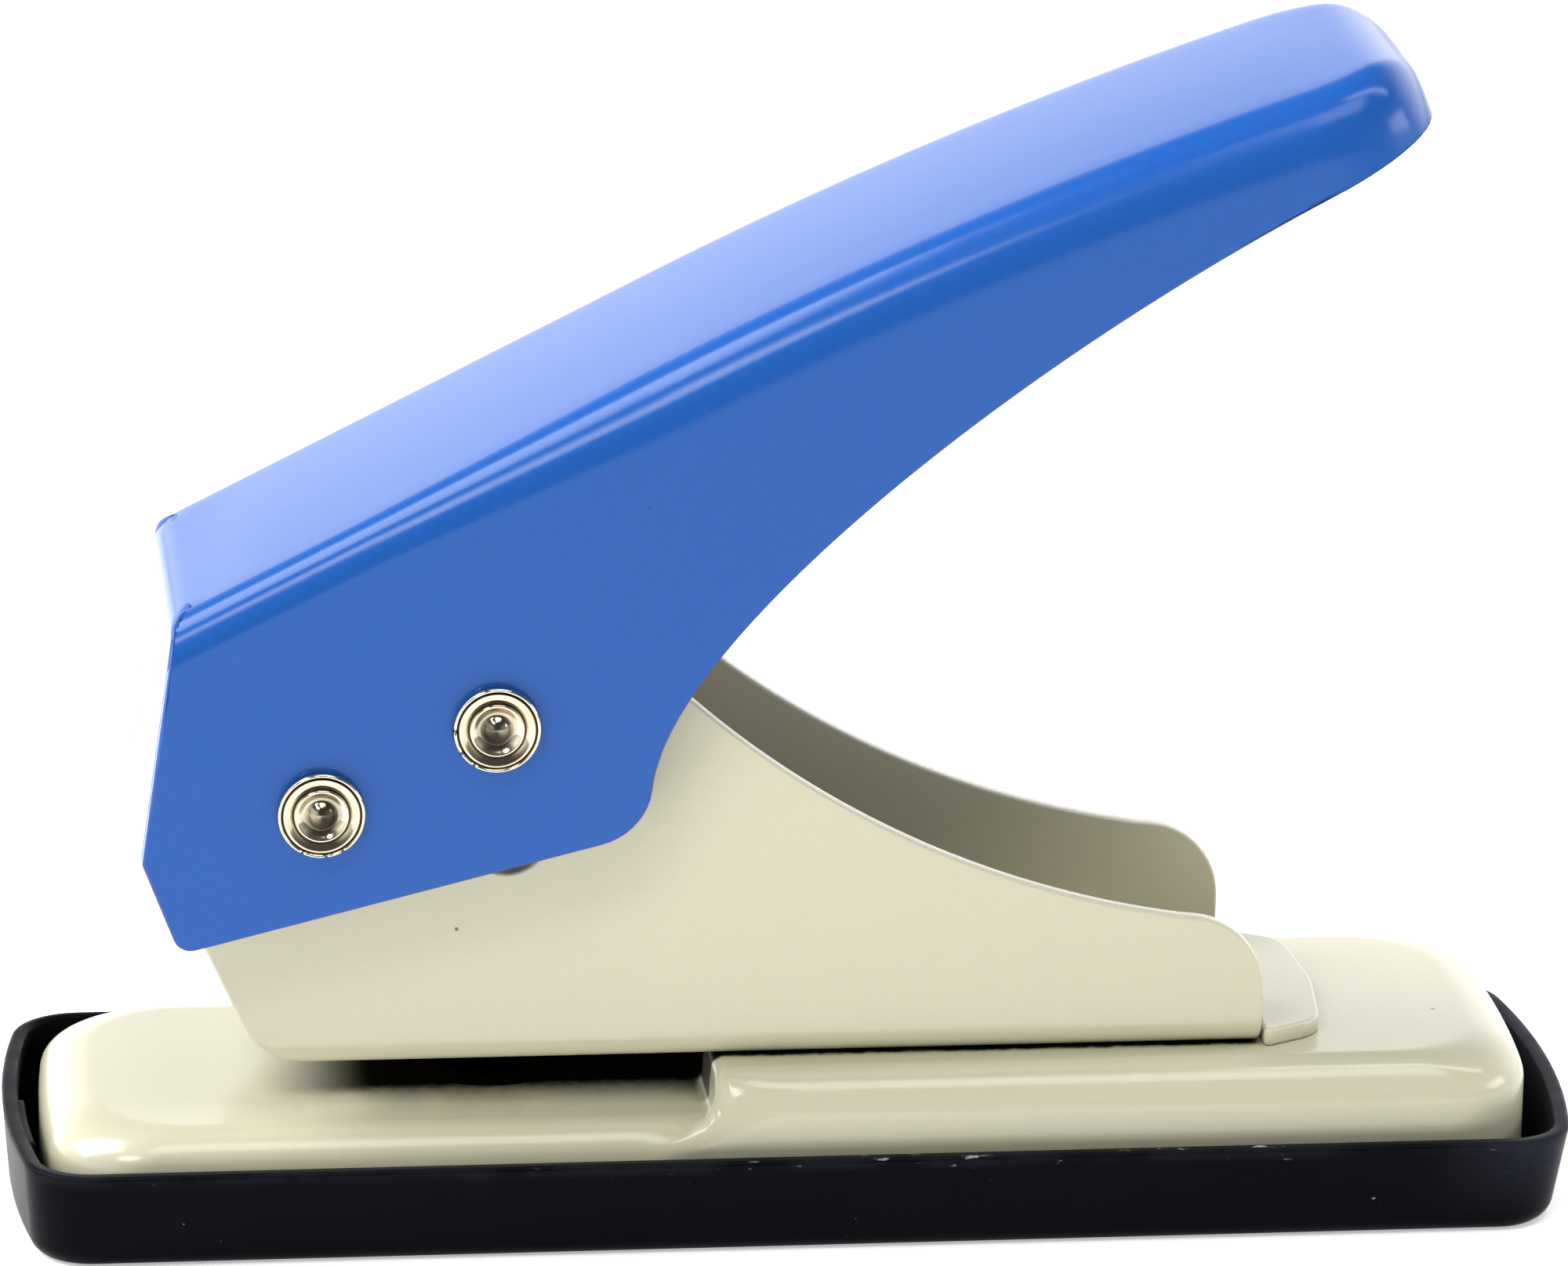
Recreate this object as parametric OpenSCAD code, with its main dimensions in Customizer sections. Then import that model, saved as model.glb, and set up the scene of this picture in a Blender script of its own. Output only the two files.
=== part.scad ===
// Single hole punch: a pressed lever drives a spring-returned punch through a sheet of paper and a die.
// All lengths are in millimetres.
// X runs from the punch end to the free end of the lever, Y across the width and Z up from the table.
// The origin is the middle of the chip tray's underside.

/* [Base] */
// Length of the pressed base
base_length = 100; // [85:0.1:125]
// Width of the pressed base
base_width = 28.6; // [26:0.1:40]
// Height of the lowered front deck above the bottom edge of the base
deck_height = 7.25; // [6.5:0.05:14]
// Height of the paper slot, which is the step between the two decks
paper_gap = 3.2; // [1.5:0.1:4]
// Distance from the punch axis back to the step that stops the paper
throat_depth = 14; // [12:0.1:20]
// Thickness of the base sheet
base_sheet = 1.2; // [0.8:0.1:1.6]
// Corner radius of the base seen from above
base_corner_r = 6.5; // [5:0.1:9]
// How far the ends of the base bow outwards
base_end_bow = 0.9; // [0.3:0.1:3]
// Outside radius of the bend round the decks
base_edge_r = 3; // [2.4:0.1:4]
// Radius on the top edge of the step
step_edge_r = 1.3; // [0.5:0.1:2]

/* [Chip tray] */
// Wall thickness of the chip tray
tray_wall = 1.1; // [0.8:0.1:2]
// Floor thickness of the chip tray
tray_floor = 1; // [0.8:0.1:2]
// Height of the rim above the table
tray_height = 6.5; // [5:0.1:9]
// Clearance between the tray and the sides of the base
tray_side_gap = 0.35; // [0.3:0.05:1]
// Space between the tray and the ends of the base
tray_end_gap = 1.4; // [1:0.1:5]
// Corner radius of the rim seen from above
tray_corner_r = 4.6; // [3:0.1:7]
// How far the ends of the rim bow outwards
tray_end_bow = 1.8; // [0.5:0.1:3]
// How far the wall leans in from rim to floor
tray_draft = 0.5; // [0:0.05:1]
// Radius of the bottom edge
tray_edge_r = 1.2; // [0.6:0.1:2]
// Width of the lug inside the front end of the tray
lug_width = 8.5; // [4:0.1:11]
// Thickness of that lug
lug_depth = 0.4; // [0.3:0.1:1.2]
// Distance of that lug under the rim
lug_drop = 0.3; // [0.1:0.1:1]
// Gap under the base where it stands in the tray
seat_gap = 0.05; // [0:0.01:0.2]

/* [Frame] */
// Outside width of the channel frame
frame_width = 20.8; // [18:0.1:21.5]
// Thickness of the frame sheet
frame_sheet = 1.2; // [0.8:0.1:1.8]
// Outside radius of the bends along the frame
frame_bend_r = 2.2; // [2:0.1:4]
// Distance of the pivot axis behind the front end of the base
pivot_setback = 18; // [14:0.1:22]
// Height of the pivot axis above the underside of the frame
pivot_height = 18.9; // [17:0.1:22]
// How far the foot of the walls reaches ahead of the pivot axis
foot_reach = 3.5; // [1:0.1:6]
// Forward lean of the front edges of the walls
front_lean = 24.6; // [10:0.1:28]
// Height of the front corners of the walls above the frame underside
brow_height = 13.4; // [9:0.1:14]
// Reach of the rounded wall tops round the pivot axis
nose_r = 9.6; // [8:0.1:9.8]
// Height of the wall tops above the pivot axis
crown_height = 9.8; // [9.3:0.1:10.4]
// Length of the walls behind the pivot axis
wall_length = 62.8; // [55:0.1:70]
// Height of the walls at their rear end
wall_end_height = 8.6; // [6:0.1:12]
// Radius of the hollow curve along the wall tops
scoop_r = 63.3; // [55:0.1:75]
// Distance of the lowest point of the hollow curve behind the walls
scoop_setback = 4.2; // [2:0.1:6]
// Radius of the front corners of the walls
brow_r = 2.5; // [1:0.1:4]
// Radius of the foot of the walls
foot_r = 2.2; // [1:0.1:3]
// Radius of the wall tops ahead of and over the pivot axis
nose_corner_r = 5; // [2:0.1:6]
// Radius where the wall tops turn down into the hollow curve
crown_corner_r = 4; // [2:0.1:6]
// Radius of the rear top corners of the walls
wall_end_r = 5.2; // [2:0.1:6]
// Length of the tongue behind the walls
tongue_length = 5.1; // [2:0.1:9]
// Radius where the walls meet the tongue
tongue_fillet_r = 1.6; // [0.5:0.1:3]
// Corner radius of the tongue
tongue_corner_r = 4.5; // [2:0.1:5]
// Setback of the floor of the channel behind the foot of the walls
floor_setback = 2; // [1:0.1:4]
// Width of the tongue at its end before its corners are rounded
tongue_width = 16.4; // [10:0.1:18]

/* [Lever drive] */
// Distance between the pivot axis and the drive axis
pin_spacing = 12.67; // [11:0.01:13.5]
// Angle of the drive axis above the pivot axis at rest
rest_angle = 26.1; // [22:0.1:28]
// Swing of the handle from rest to full press
press_angle = 39; // [30:0.5:40]
// Outside diameter of the spacer sleeves
sleeve_d = 5; // [4.8:0.1:5.6]
// Clearance of the drive sleeve in its slots
slot_clearance = 0.2; // [0.15:0.05:0.4]
// Radial clearance of turning and sliding fits
running_clearance = 0.05; // [0.02:0.01:0.09]
// Clearance at each end of the sleeves
end_play = 0.05; // [0.02:0.01:0.2]

/* [Lever rivets] */
// Shank diameter of the two lever rivets
rivet_d = 4; // [3.6:0.1:4.2]
// Diameter of the rolled clinch
clinch_d = 5.8; // [5:0.1:7]
// Radius of the rolled rim of the clinch
clinch_roll_r = 0.45; // [0.3:0.05:0.6]
// Diameter of the polished disc in the clinch
clinch_disc_d = 3.5; // [2.6:0.1:4]
// Diameter of the pip in the middle of the clinch
clinch_pip_d = 1.8; // [0.8:0.1:2.2]
// Diameter of the domed head on the other side
rivet_head_d = 6.6; // [5.5:0.1:8]
// Height of the domed head
rivet_head_h = 1.2; // [0.8:0.1:1.8]
// Radial clearance of fixed pins in their holes
fixed_clearance = 0.02; // [0:0.01:0.05]

/* [Handle] */
// Outside width of the handle
handle_width = 27; // [25.6:0.1:28]
// Thickness of the handle sheet
handle_sheet = 1; // [0.8:0.1:1.2]
// Distance from the pivot axis square to the straight top
handle_rise = 15.7; // [14.5:0.1:18]
// Slope of the straight top at rest
handle_slope = 27; // [24:0.1:30]
// Distance from the foot of the rise forwards to the front corner
handle_front = 2.65; // [2.5:0.05:4]
// Length of the straight top behind the foot of the rise
handle_straight = 34.4; // [28:0.1:40]
// Length of the whole top behind the foot of the rise
handle_run = 86; // [78:0.1:95]
// Radius of the crowned rear part of the top
handle_crown_r = 296; // [240:1:420]
// Outside bend radius along the top at the front
handle_bend_r = 3.2; // [2:0.1:5]
// Outside bend radius along the top at the tip
tip_bend_r = 3.6; // [3:0.1:5]
// Corner radius of the tip seen from above
tip_corner_r = 8.2; // [5:0.1:10]
// Radius between the top and the end wall of the tip
tip_edge_r = 3.9; // [2:0.1:4.5]
// Height of the end wall of the tip
tip_depth = 5; // [4.8:0.1:8]
// Radius of the top front corner
front_corner_r = 2.2; // [1:0.1:3]
// Reach of the front edge ahead of the pivot axis at its lower end
cheek_reach = 11.6; // [11.4:0.1:13]
// Drop of that lower end under the pivot axis
cheek_drop = 3.4; // [2:0.1:5]
// Reach of the chin ahead of the pivot axis
chin_reach = 9.2; // [7:0.1:10]
// Drop of the chin under the pivot axis
chin_drop = 9.6; // [7:0.1:10.5]
// Radius of the chin
chin_r = 1.2; // [0.5:0.1:2]
// Distance of the heel corner behind the pivot axis
heel_reach = 20.8; // [19:0.1:24]
// Drop of the heel corner under the pivot axis
heel_drop = 2.05; // [0.5:0.05:3]
// Radius of the heel corner
heel_r = 4.4; // [2:0.1:4.8]
// Steepness of the rear edge just above the heel
heel_angle = 74.4; // [68:0.1:80]
// Straight length of the rear edge above the heel
heel_lead = 3; // [2.5:0.1:4]
// How much steeper the rear edge pulls away from its straight length
heel_kick = 14; // [0:0.1:18]
// Pull of the rear edge upwards from the heel
heel_pull = 9.9; // [6:0.1:14]
// Pull of the rear edge backwards from the tip
tip_pull = 28.6; // [20:0.1:36]
// Slope of the lower edge where it meets the tip
tip_slope = 25; // [20:0.1:30]
// Drop of the front lip under the pivot axis
lip_drop = 3.6; // [0:0.1:5]
// Width of the relief slots beside the front lip
lip_relief = 0.5; // [0.3:0.05:1]

/* [Punch] */
// Diameter of the punch and of the hole it makes
punch_d = 6; // [5:0.1:6.5]
// Distance of the cutting end above the paper slot at rest
tip_retract = 0.4; // [0.2:0.1:1]
// Gap between the punch top and the drive sleeve
punch_play = 0.15; // [0.1:0.01:0.3]
// Depth of the hollow across the cutting end
hollow_depth = 0.8; // [0.3:0.1:1.2]
// Radius of the hollow across the cutting end
hollow_r = 9; // [6:0.1:14]
// Distance of the clip above its washer to the punch top
clip_setback = 2.4; // [1.8:0.1:3]
// Thickness of the retaining clip
clip_sheet = 0.8; // [0.6:0.1:1]
// Depth of the clip groove
clip_groove = 0.55; // [0.3:0.05:0.8]
// Width of the tongues of the clip
clip_tongue = 1.8; // [1:0.1:2.4]
// Clearance between the clip ring and the punch
clip_clearance = 0.45; // [0.2:0.05:0.7]
// Width of the clip ring
clip_band = 1.5; // [1:0.1:2]
// Thickness of the spring washer
washer_sheet = 0.6; // [0.4:0.1:1]
// Chamfer round the punch top
punch_chamfer = 0.5; // [0.2:0.1:1]

/* [Return spring] */
// Wire diameter
wire_d = 0.9; // [0.7:0.05:1]
// Number of turns
spring_turns = 6.5; // [5:0.5:7]
// Gap between the end turns
end_turn_gap = 0.5; // [0.45:0.05:0.8]
// Clearance round the guide bush
spring_clearance = 0.45; // [0.35:0.05:0.8]
// Reach of the bush flange and the washer past the spring
seat_reach = 0.3; // [0.1:0.1:0.6]
// Clearance at each end of the spring
spring_play = 0.08; // [0.05:0.01:0.2]

/* [Guide bush and die] */
// Outside diameter of the collar that the spring stands round
collar_d = 8; // [7.4:0.1:8.6]
// Height of the collar above its flange
collar_height = 5; // [3:0.1:6]
// Outside diameter of the tail in the frame
bush_d = 8.8; // [8:0.1:9.5]
// Thickness of the flange
bush_flange = 0.8; // [0.6:0.1:1.5]
// Outside diameter of the die ring
die_d = 10.4; // [9:0.1:12]
// Height of the die ring
die_height = 3; // [2:0.1:4]
// Height of the cutting land at the top of the die
die_land = 1.4; // [0.8:0.1:1.8]
// Widening of the die under its land
die_relief = 0.5; // [0.2:0.1:1]

/* [Frame rivets] */
// Distance from the step to the front rivet
stud_setback = 9; // [6:0.5:14]
// Distance between the two rivets
stud_spacing = 20; // [14:0.5:22]
// Shank diameter
stud_d = 3.5; // [3:0.1:4]
// Head diameter
stud_head_d = 7; // [6:0.1:8]
// Head height
stud_head_h = 1.5; // [1:0.1:1.9]
// Diameter of the flattened tail
stud_tail_d = 5.6; // [4.6:0.1:7]
// Height of the flattened tail
stud_tail_h = 0.9; // [0.6:0.1:1.4]

/* [Hidden] */
$fn = 64;
// Overlap of a cut past the face it opens
past = 1;
// Height by which a swept block stands proud of the outline that trims it
proud = 0.05;

// Heights, from the table up
base_bottom = tray_floor + seat_gap;
low_deck = base_bottom + deck_height;
high_deck = low_deck + paper_gap;
web_top = high_deck + frame_sheet;
pivot_z = high_deck + pivot_height;
drive_z = pivot_z + pin_spacing * sin(rest_angle);
crown_z = pivot_z + crown_height;

// Stations along the length
pivot_x = pivot_setback - base_length / 2;
drive_x = pivot_x + pin_spacing * cos(rest_angle);
punch_x = pivot_x + pin_spacing * (1 + cos(rest_angle)) / 2;
step_x = punch_x + throat_depth;
wall_end_x = pivot_x + wall_length;
tongue_x = wall_end_x + tongue_length;
foot_x = pivot_x - foot_reach;

// Fits
slot_r = sleeve_d / 2 + slot_clearance;
sleeve_bore_r = rivet_d / 2 + running_clearance;
handle_inside = handle_width - 2 * handle_sheet;
sleeve_length = handle_inside - 2 * end_play;
punch_bore_r = punch_d / 2 + running_clearance;

// Punch stack, from the drive sleeve down
punch_top = drive_z - sleeve_d / 2 - punch_play;
punch_tip = high_deck + tip_retract;
clip_z = punch_top - clip_setback - clip_sheet;
washer_z = clip_z - washer_sheet;
groove_r = punch_d / 2 - clip_groove;
clip_r = groove_r + fixed_clearance;
clip_outer_r = clip_r + clip_groove + clip_band;

// Spring between the bush flange and the washer
flange_top = web_top + bush_flange;
spring_r = collar_d / 2 + spring_clearance + wire_d / 2;
spring_outer_r = spring_r + wire_d / 2;
spring_low = flange_top + spring_play + wire_d / 2;
spring_high = washer_z - spring_play - wire_d / 2;
end_pitch = wire_d + end_turn_gap;
mid_pitch = (spring_high - spring_low - 2 * end_pitch) / (spring_turns - 2);
seat_r = spring_outer_r + seat_reach;

// Outlines

// Unit vector
function unit(v) = v / norm(v);

// Points of an arc about a centre
function arc(c, r, from, to, n) = [
    for (i = [0:n])
        c + r * [cos(from + (to - from) * i / n), sin(from + (to - from) * i / n)]
];

// Points of the arc that rounds the corner b between a and c
function corner(a, b, c, r, n) =
    let (
        u = unit(a - b),
        v = unit(c - b),
        half = acos(u * v) / 2,
        centre = b + unit(u + v) * r / sin(half),
        p = b + u * r / tan(half) - centre,
        q = b + v * r / tan(half) - centre,
        from = atan2(p[1], p[0]),
        turn = atan2(p[0] * q[1] - p[1] * q[0], p * q)
    )
    arc(centre, r, from, from + turn, n);

// Outline from corners given as x, y and radius
function rounded(v, n = 6) = [
    for (i = [0:len(v) - 1])
        let (
            a = v[(i + len(v) - 1) % len(v)],
            b = v[i],
            c = v[(i + 1) % len(v)]
        )
        each b[2] > 0
            ? corner([a[0], a[1]], [b[0], b[1]], [c[0], c[1]], b[2], n)
            : [[b[0], b[1]]]
];

// Sharp corners from plain points
function sharp(points) = [for (p = points) [p[0], p[1], 0]];

// Point on a cubic curve
function bezier(a, b, c, d, t) =
    a * pow(1 - t, 3) + b * 3 * pow(1 - t, 2) * t + c * 3 * (1 - t) * t * t + d * pow(t, 3);

// Half plan outline of a pan with bowed ends, moved in by d
function pan_end(length, width, r, bow, d) =
    let (
        w = width / 2,
        end_r = (w * w + bow * bow) / (2 * bow),
        end_x = length / 2 - end_r,
        corner_x = end_x + sqrt(pow(end_r - r, 2) - pow(w - r, 2)),
        meet = atan2(w - r, corner_x - end_x)
    )
    concat(
        arc([corner_x, r - w], r - d, -90, -meet, 6),
        arc([end_x, 0], end_r - d, -meet * 0.6, meet * 0.6, 4),
        arc([corner_x, w - r], r - d, meet, 90, 6)
    );

// Closed plan outline of the same pan at a height
function pan(length, width, r, bow, d, z) =
    let (end = pan_end(length, width, r, bow, d))
    [for (s = [1, -1], p = end) [s * p[0], s * p[1], z]];

// Solid through a stack of loops with equal numbers of points
module skin(loops) {
    n = len(loops[0]);
    m = len(loops);
    sides = [
        for (j = [0:m - 2], i = [0:n - 1])
            let (
                a = j * n + i,
                b = j * n + (i + 1) % n
            )
            each [[a, a + n, b + n], [a, b + n, b]]
    ];
    low = [for (i = [0:n - 1]) i];
    high = [for (i = [n - 1:-1:0]) (m - 1) * n + i];
    polyhedron([for (l = loops) each l], concat(sides, [low, high]));
}

// Plate in the XZ plane, centred across the width
module side_plate(points, width) {
    rotate([90, 0, 0])
        linear_extrude(height = width, center = true)
            polygon(points);
}

// Round bar across the width at a point of the XZ plane
module cross_bar(x, z, r, length) {
    translate([x, 0, z])
        rotate([90, 0, 0])
            cylinder(h = length, r = r, center = true);
}

// Dome of a rivet head on the plane z = 0
module dome(d, h) {
    ball_r = (d * d / 4 + h * h) / (2 * h);
    intersection() {
        translate([0, 0, h - ball_r])
            sphere(r = ball_r);
        cylinder(h = h + past, r = d);
    }
}

// Chip tray

// Size of the rim
tray_length = base_length + 2 * (tray_end_gap + tray_wall);
tray_width = base_width + 2 * (tray_side_gap + tray_wall + tray_draft);

// Plan outline of the tray moved in by d
function tray_loop(d, z) = pan(tray_length, tray_width, tray_corner_r, tray_end_bow, d, z);

// Lean of the wall at a height
function tray_lean(z) = tray_draft * (1 - z / tray_height);

// Open tray that catches the chips and lets the base stand in it
module chip_tray() {
    outer = concat(
        [
            for (a = [0:22.5:67.5])
                let (z = tray_edge_r * (1 - cos(a)))
                tray_loop(tray_lean(z) + tray_edge_r * (1 - sin(a)), z)
        ],
        [tray_loop(tray_lean(tray_edge_r), tray_edge_r), tray_loop(0, tray_height)]
    );
    rise = tray_height + past;
    color([0.07, 0.07, 0.09]) {
        difference() {
            skin(outer);
            tray_hollow(tray_wall, tray_floor, rise);
        }
        difference() {
            intersection() {
                tray_hollow(tray_wall / 2, tray_floor / 2, tray_height - lug_drop);
                translate([-tray_length / 2, -lug_width, 0])
                    cube([tray_length / 4, lug_width, tray_height]);
            }
            tray_hollow(tray_wall + lug_depth, tray_floor / 2 - past, rise);
        }
    }
}

// Space inside the tray walls between two heights
module tray_hollow(wall, low, high) {
    skin([
        tray_loop(tray_lean(low) + wall, low),
        tray_loop(tray_lean(high) + wall, high)
    ]);
}

// Base

// Plan outline of the base moved in by d
function base_loop(d, z) = pan(base_length, base_width, base_corner_r, base_end_bow, d, z);

// Solid block with a rounded top edge, moved in by the sheet for the hollow
module base_block(top, sheet, bottom) {
    skin(concat(
        [base_loop(sheet, bottom)],
        [
            for (a = [0:18:90])
                base_loop(
                    base_edge_r - (base_edge_r - sheet) * cos(a),
                    top - base_edge_r + (base_edge_r - sheet) * sin(a)
                )
        ]
    ));
}

// Both decks as one block, the rear one trimmed by the step
module base_decks(sheet, bottom) {
    face = step_x + sheet;
    edge_r = step_edge_r;
    far = base_length;
    intersection() {
        base_block(high_deck, sheet, bottom);
        side_plate(
            concat(
                [
                    [face, bottom - past],
                    [far, bottom - past],
                    [far, high_deck + past]
                ],
                sheet > 0
                    ? [[face, high_deck + past]]
                    : concat(
                        [[face + edge_r, high_deck + past]],
                        arc([face + edge_r, high_deck - edge_r], edge_r, 90, 180, 5)
                    )
            ),
            2 * base_width
        );
    }
    intersection() {
        base_block(low_deck, sheet, bottom);
        translate([-far, -base_width, bottom - past])
            cube([far + face, 2 * base_width, high_deck]);
    }
}

// Pressed base with a lowered deck for the paper, open underneath
module base() {
    color([0.76, 0.75, 0.67])
        difference() {
            base_decks(0, base_bottom);
            base_decks(base_sheet, base_bottom - past);
            translate([punch_x, 0, base_bottom])
                cylinder(h = high_deck, r = die_d / 2 + fixed_clearance);
            studs_at()
                translate([0, 0, base_bottom])
                    cylinder(h = high_deck, r = stud_d / 2 + fixed_clearance);
        }
}

// Hardened ring in the lower deck that the punch cuts against
module die_ring() {
    color([0.55, 0.56, 0.58])
        translate([punch_x, 0, low_deck - die_height])
            difference() {
                cylinder(h = die_height, r = die_d / 2);
                translate([0, 0, -past])
                    cylinder(h = die_height + 2 * past, r = punch_bore_r);
                translate([0, 0, -past])
                    cylinder(h = die_height - die_land + past, r = punch_bore_r + die_relief);
            }
}

// Frame

// Places of the rivets that hold the frame to the upper deck
module studs_at() {
    for (i = [0, 1])
        translate([step_x + stud_setback + i * stud_spacing, 0, 0])
            children();
}

// Outline of the walls seen from the side
function wall_outline() =
    let (
        scoop = [wall_end_x + scoop_setback, high_deck + wall_end_height + scoop_r],
        from = asin((crown_z - scoop[1]) / scoop_r),
        last = wall_end_x - wall_end_r - 0.6,
        to = -acos((scoop[0] - last) / scoop_r),
        hollow = arc(scoop, scoop_r, 180 - from, 180 - to, 14),
        brow_x = foot_x - brow_height * tan(front_lean)
    )
    rounded(concat(
        [
            [tongue_x + past, high_deck - past, 0],
            [tongue_x + past, web_top, 0],
            [wall_end_x, web_top, tongue_fillet_r],
            [wall_end_x, scoop[1] - sqrt(scoop_r * scoop_r - scoop_setback * scoop_setback), wall_end_r]
        ],
        [for (i = [14:-1:1]) [hollow[i][0], hollow[i][1], 0]],
        [
            [hollow[0][0], crown_z, crown_corner_r],
            [pivot_x + nose_r * cos(104), pivot_z + nose_r * sin(104), nose_corner_r],
            [pivot_x + nose_r * cos(150), pivot_z + nose_r * sin(150), nose_corner_r],
            [brow_x, high_deck + brow_height, brow_r],
            [foot_x, high_deck, foot_r],
            [foot_x + 2 * foot_r, high_deck, 0],
            [foot_x + 2 * foot_r, high_deck - past, 0]
        ]
    ));

// Cross section of the channel, open at the top
module channel_section(w, r, foot) {
    translate([-w / 2, foot + r])
        square([w, crown_z]);
    translate([r - w / 2, foot])
        square([w - 2 * r, crown_z]);
    for (s = [-1, 1])
        translate([s * (w / 2 - r), foot + r])
            circle(r = r);
}

// Folded channel that carries the lever and guides the punch
module frame() {
    color([0.74, 0.73, 0.65])
        difference() {
            intersection() {
                translate([-base_length / 2, 0, 0])
                    rotate([90, 0, 90])
                        linear_extrude(height = base_length)
                            difference() {
                                channel_section(frame_width, frame_bend_r, high_deck);
                                channel_section(
                                    frame_width - 2 * frame_sheet, frame_bend_r - frame_sheet, web_top
                                );
                            }
                side_plate(wall_outline(), frame_width + 2 * past);
                linear_extrude(height = crown_z + past)
                    polygon(rounded([
                        [-base_length, -frame_width, 0],
                        [wall_end_x, -frame_width, 0],
                        [wall_end_x, -frame_width / 2, 0],
                        [tongue_x, -tongue_width / 2, tongue_corner_r],
                        [tongue_x, tongue_width / 2, tongue_corner_r],
                        [wall_end_x, frame_width / 2, 0],
                        [wall_end_x, frame_width, 0],
                        [-base_length, frame_width, 0]
                    ]));
            }
            translate([foot_x - foot_r, frame_bend_r - frame_width / 2, high_deck - past])
                cube([foot_r + floor_setback, frame_width - 2 * frame_bend_r, frame_sheet + 2 * past]);
            cross_bar(pivot_x, pivot_z, sleeve_d / 2 + running_clearance, frame_width + 2 * past);
            drive_slot();
            translate([punch_x, 0, 0])
                cylinder(h = web_top + past, r = bush_d / 2 + fixed_clearance);
            studs_at()
                cylinder(h = web_top + past, r = stud_d / 2 + fixed_clearance);
        }
}

// Slot along the path of the drive sleeve
module drive_slot() {
    low = rest_angle - press_angle;
    upper_end = arc(pin_spacing * [cos(rest_angle), sin(rest_angle)], slot_r, rest_angle, rest_angle + 180, 12);
    lower_end = arc(pin_spacing * [cos(low), sin(low)], slot_r, low + 180, low + 360, 12);
    inner = arc([0, 0], pin_spacing - slot_r, rest_angle, low, 8);
    outer = arc([0, 0], pin_spacing + slot_r, low, rest_angle, 8);
    translate([pivot_x, 0, pivot_z])
        side_plate(
            concat(upper_end, [for (i = [1:7]) inner[i]], lower_end, [for (i = [1:7]) outer[i]]),
            frame_width + 2 * past
        );
}

// Rivets through the frame and the upper deck
module frame_rivets() {
    tail_z = high_deck - base_sheet - stud_tail_h;
    color([0.7, 0.7, 0.7])
        studs_at() {
            translate([0, 0, web_top])
                dome(stud_head_d, stud_head_h);
            translate([0, 0, tail_z])
                cylinder(h = web_top - tail_z + stud_head_h / 4, r = stud_d / 2);
            translate([0, 0, tail_z])
                cylinder(h = stud_tail_h, r = stud_tail_d / 2);
        }
}

// Punch, spring and guide

// Flanged bush that guides the punch and seats the spring
module guide_bush() {
    color([0.72, 0.62, 0.38])
        translate([punch_x, 0, 0])
            difference() {
                union() {
                    translate([0, 0, high_deck])
                        cylinder(h = frame_sheet + bush_flange, r = bush_d / 2);
                    translate([0, 0, web_top])
                        cylinder(h = bush_flange, r = seat_r);
                    translate([0, 0, web_top])
                        cylinder(h = bush_flange + collar_height, r = collar_d / 2);
                }
                translate([0, 0, high_deck - past])
                    cylinder(h = pivot_height, r = punch_bore_r);
            }
}

// Height of the spring's centre line after a number of turns
function spring_z(n) =
    n < 1 ? spring_low + end_pitch * n
    : n > spring_turns - 1 ? spring_high - end_pitch * (spring_turns - n)
    : spring_low + end_pitch + mid_pitch * (n - 1);

// Point of the spring's centre line
function spring_point(n) = [spring_r * cos(360 * n), spring_r * sin(360 * n), spring_z(n)];

// Wire turned into one unbroken helix
module return_spring() {
    rings = 12;
    sides = 6;
    steps = spring_turns * rings;
    axis = [for (i = [0:steps]) spring_point(i / rings)];
    gap = min([
        for (i = [0:steps], j = [i + rings / 2:1:steps])
            norm(axis[i] - axis[j]) - wire_d
    ]);
    echo(spring_least_gap = gap);
    color([0.66, 0.67, 0.7])
        translate([punch_x, 0, 0])
            skin([
                for (i = [0:steps])
                    let (
                        out = [cos(360 * i / rings), sin(360 * i / rings), 0],
                        along = unit(axis[min(i + 1, steps)] - axis[max(i - 1, 0)]),
                        side = unit(out - (out * along) * along),
                        up = cross(along, side)
                    )
                    [
                        for (k = [0:sides - 1])
                            axis[i] + wire_d / 2 * (cos(360 * k / sides) * side + sin(360 * k / sides) * up)
                    ]
            ]);
}

// Cutting rod with a hollow end and a groove for its clip
module punch() {
    color([0.68, 0.69, 0.71])
        translate([punch_x, 0, 0])
            difference() {
                union() {
                    translate([0, 0, punch_tip])
                        cylinder(h = punch_top - punch_tip - punch_chamfer, r = punch_d / 2);
                    translate([0, 0, punch_top - punch_chamfer])
                        cylinder(h = punch_chamfer, r1 = punch_d / 2, r2 = punch_d / 2 - punch_chamfer);
                }
                translate([0, 0, clip_z])
                    difference() {
                        cylinder(h = clip_sheet, r = punch_d);
                        cylinder(h = clip_sheet, r = groove_r);
                    }
                cross_bar(0, punch_tip + hollow_depth - hollow_r, hollow_r, 2 * punch_d);
            }
}

// Spring-steel clip in the groove of the punch
module punch_clip() {
    color([0.5, 0.5, 0.52])
        translate([punch_x, 0, clip_z])
            linear_extrude(height = clip_sheet)
                difference() {
                    circle(r = clip_outer_r);
                    difference() {
                        circle(r = punch_d / 2 + clip_clearance);
                        for (a = [0, 120, 240])
                            rotate(a)
                                translate([0, -clip_tongue / 2])
                                    square([punch_d, clip_tongue]);
                    }
                    circle(r = clip_r);
                    translate([-2 * clip_outer_r, -groove_r * 0.95])
                        square([2 * clip_outer_r, groove_r * 1.9]);
                }
}

// Washer between the clip and the spring
module spring_washer() {
    color([0.62, 0.63, 0.65])
        translate([punch_x, 0, washer_z])
            difference() {
                cylinder(h = washer_sheet, r = seat_r);
                translate([0, 0, -past])
                    cylinder(h = washer_sheet + 2 * past, r = punch_d / 2 + 2 * running_clearance);
            }
}

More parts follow.
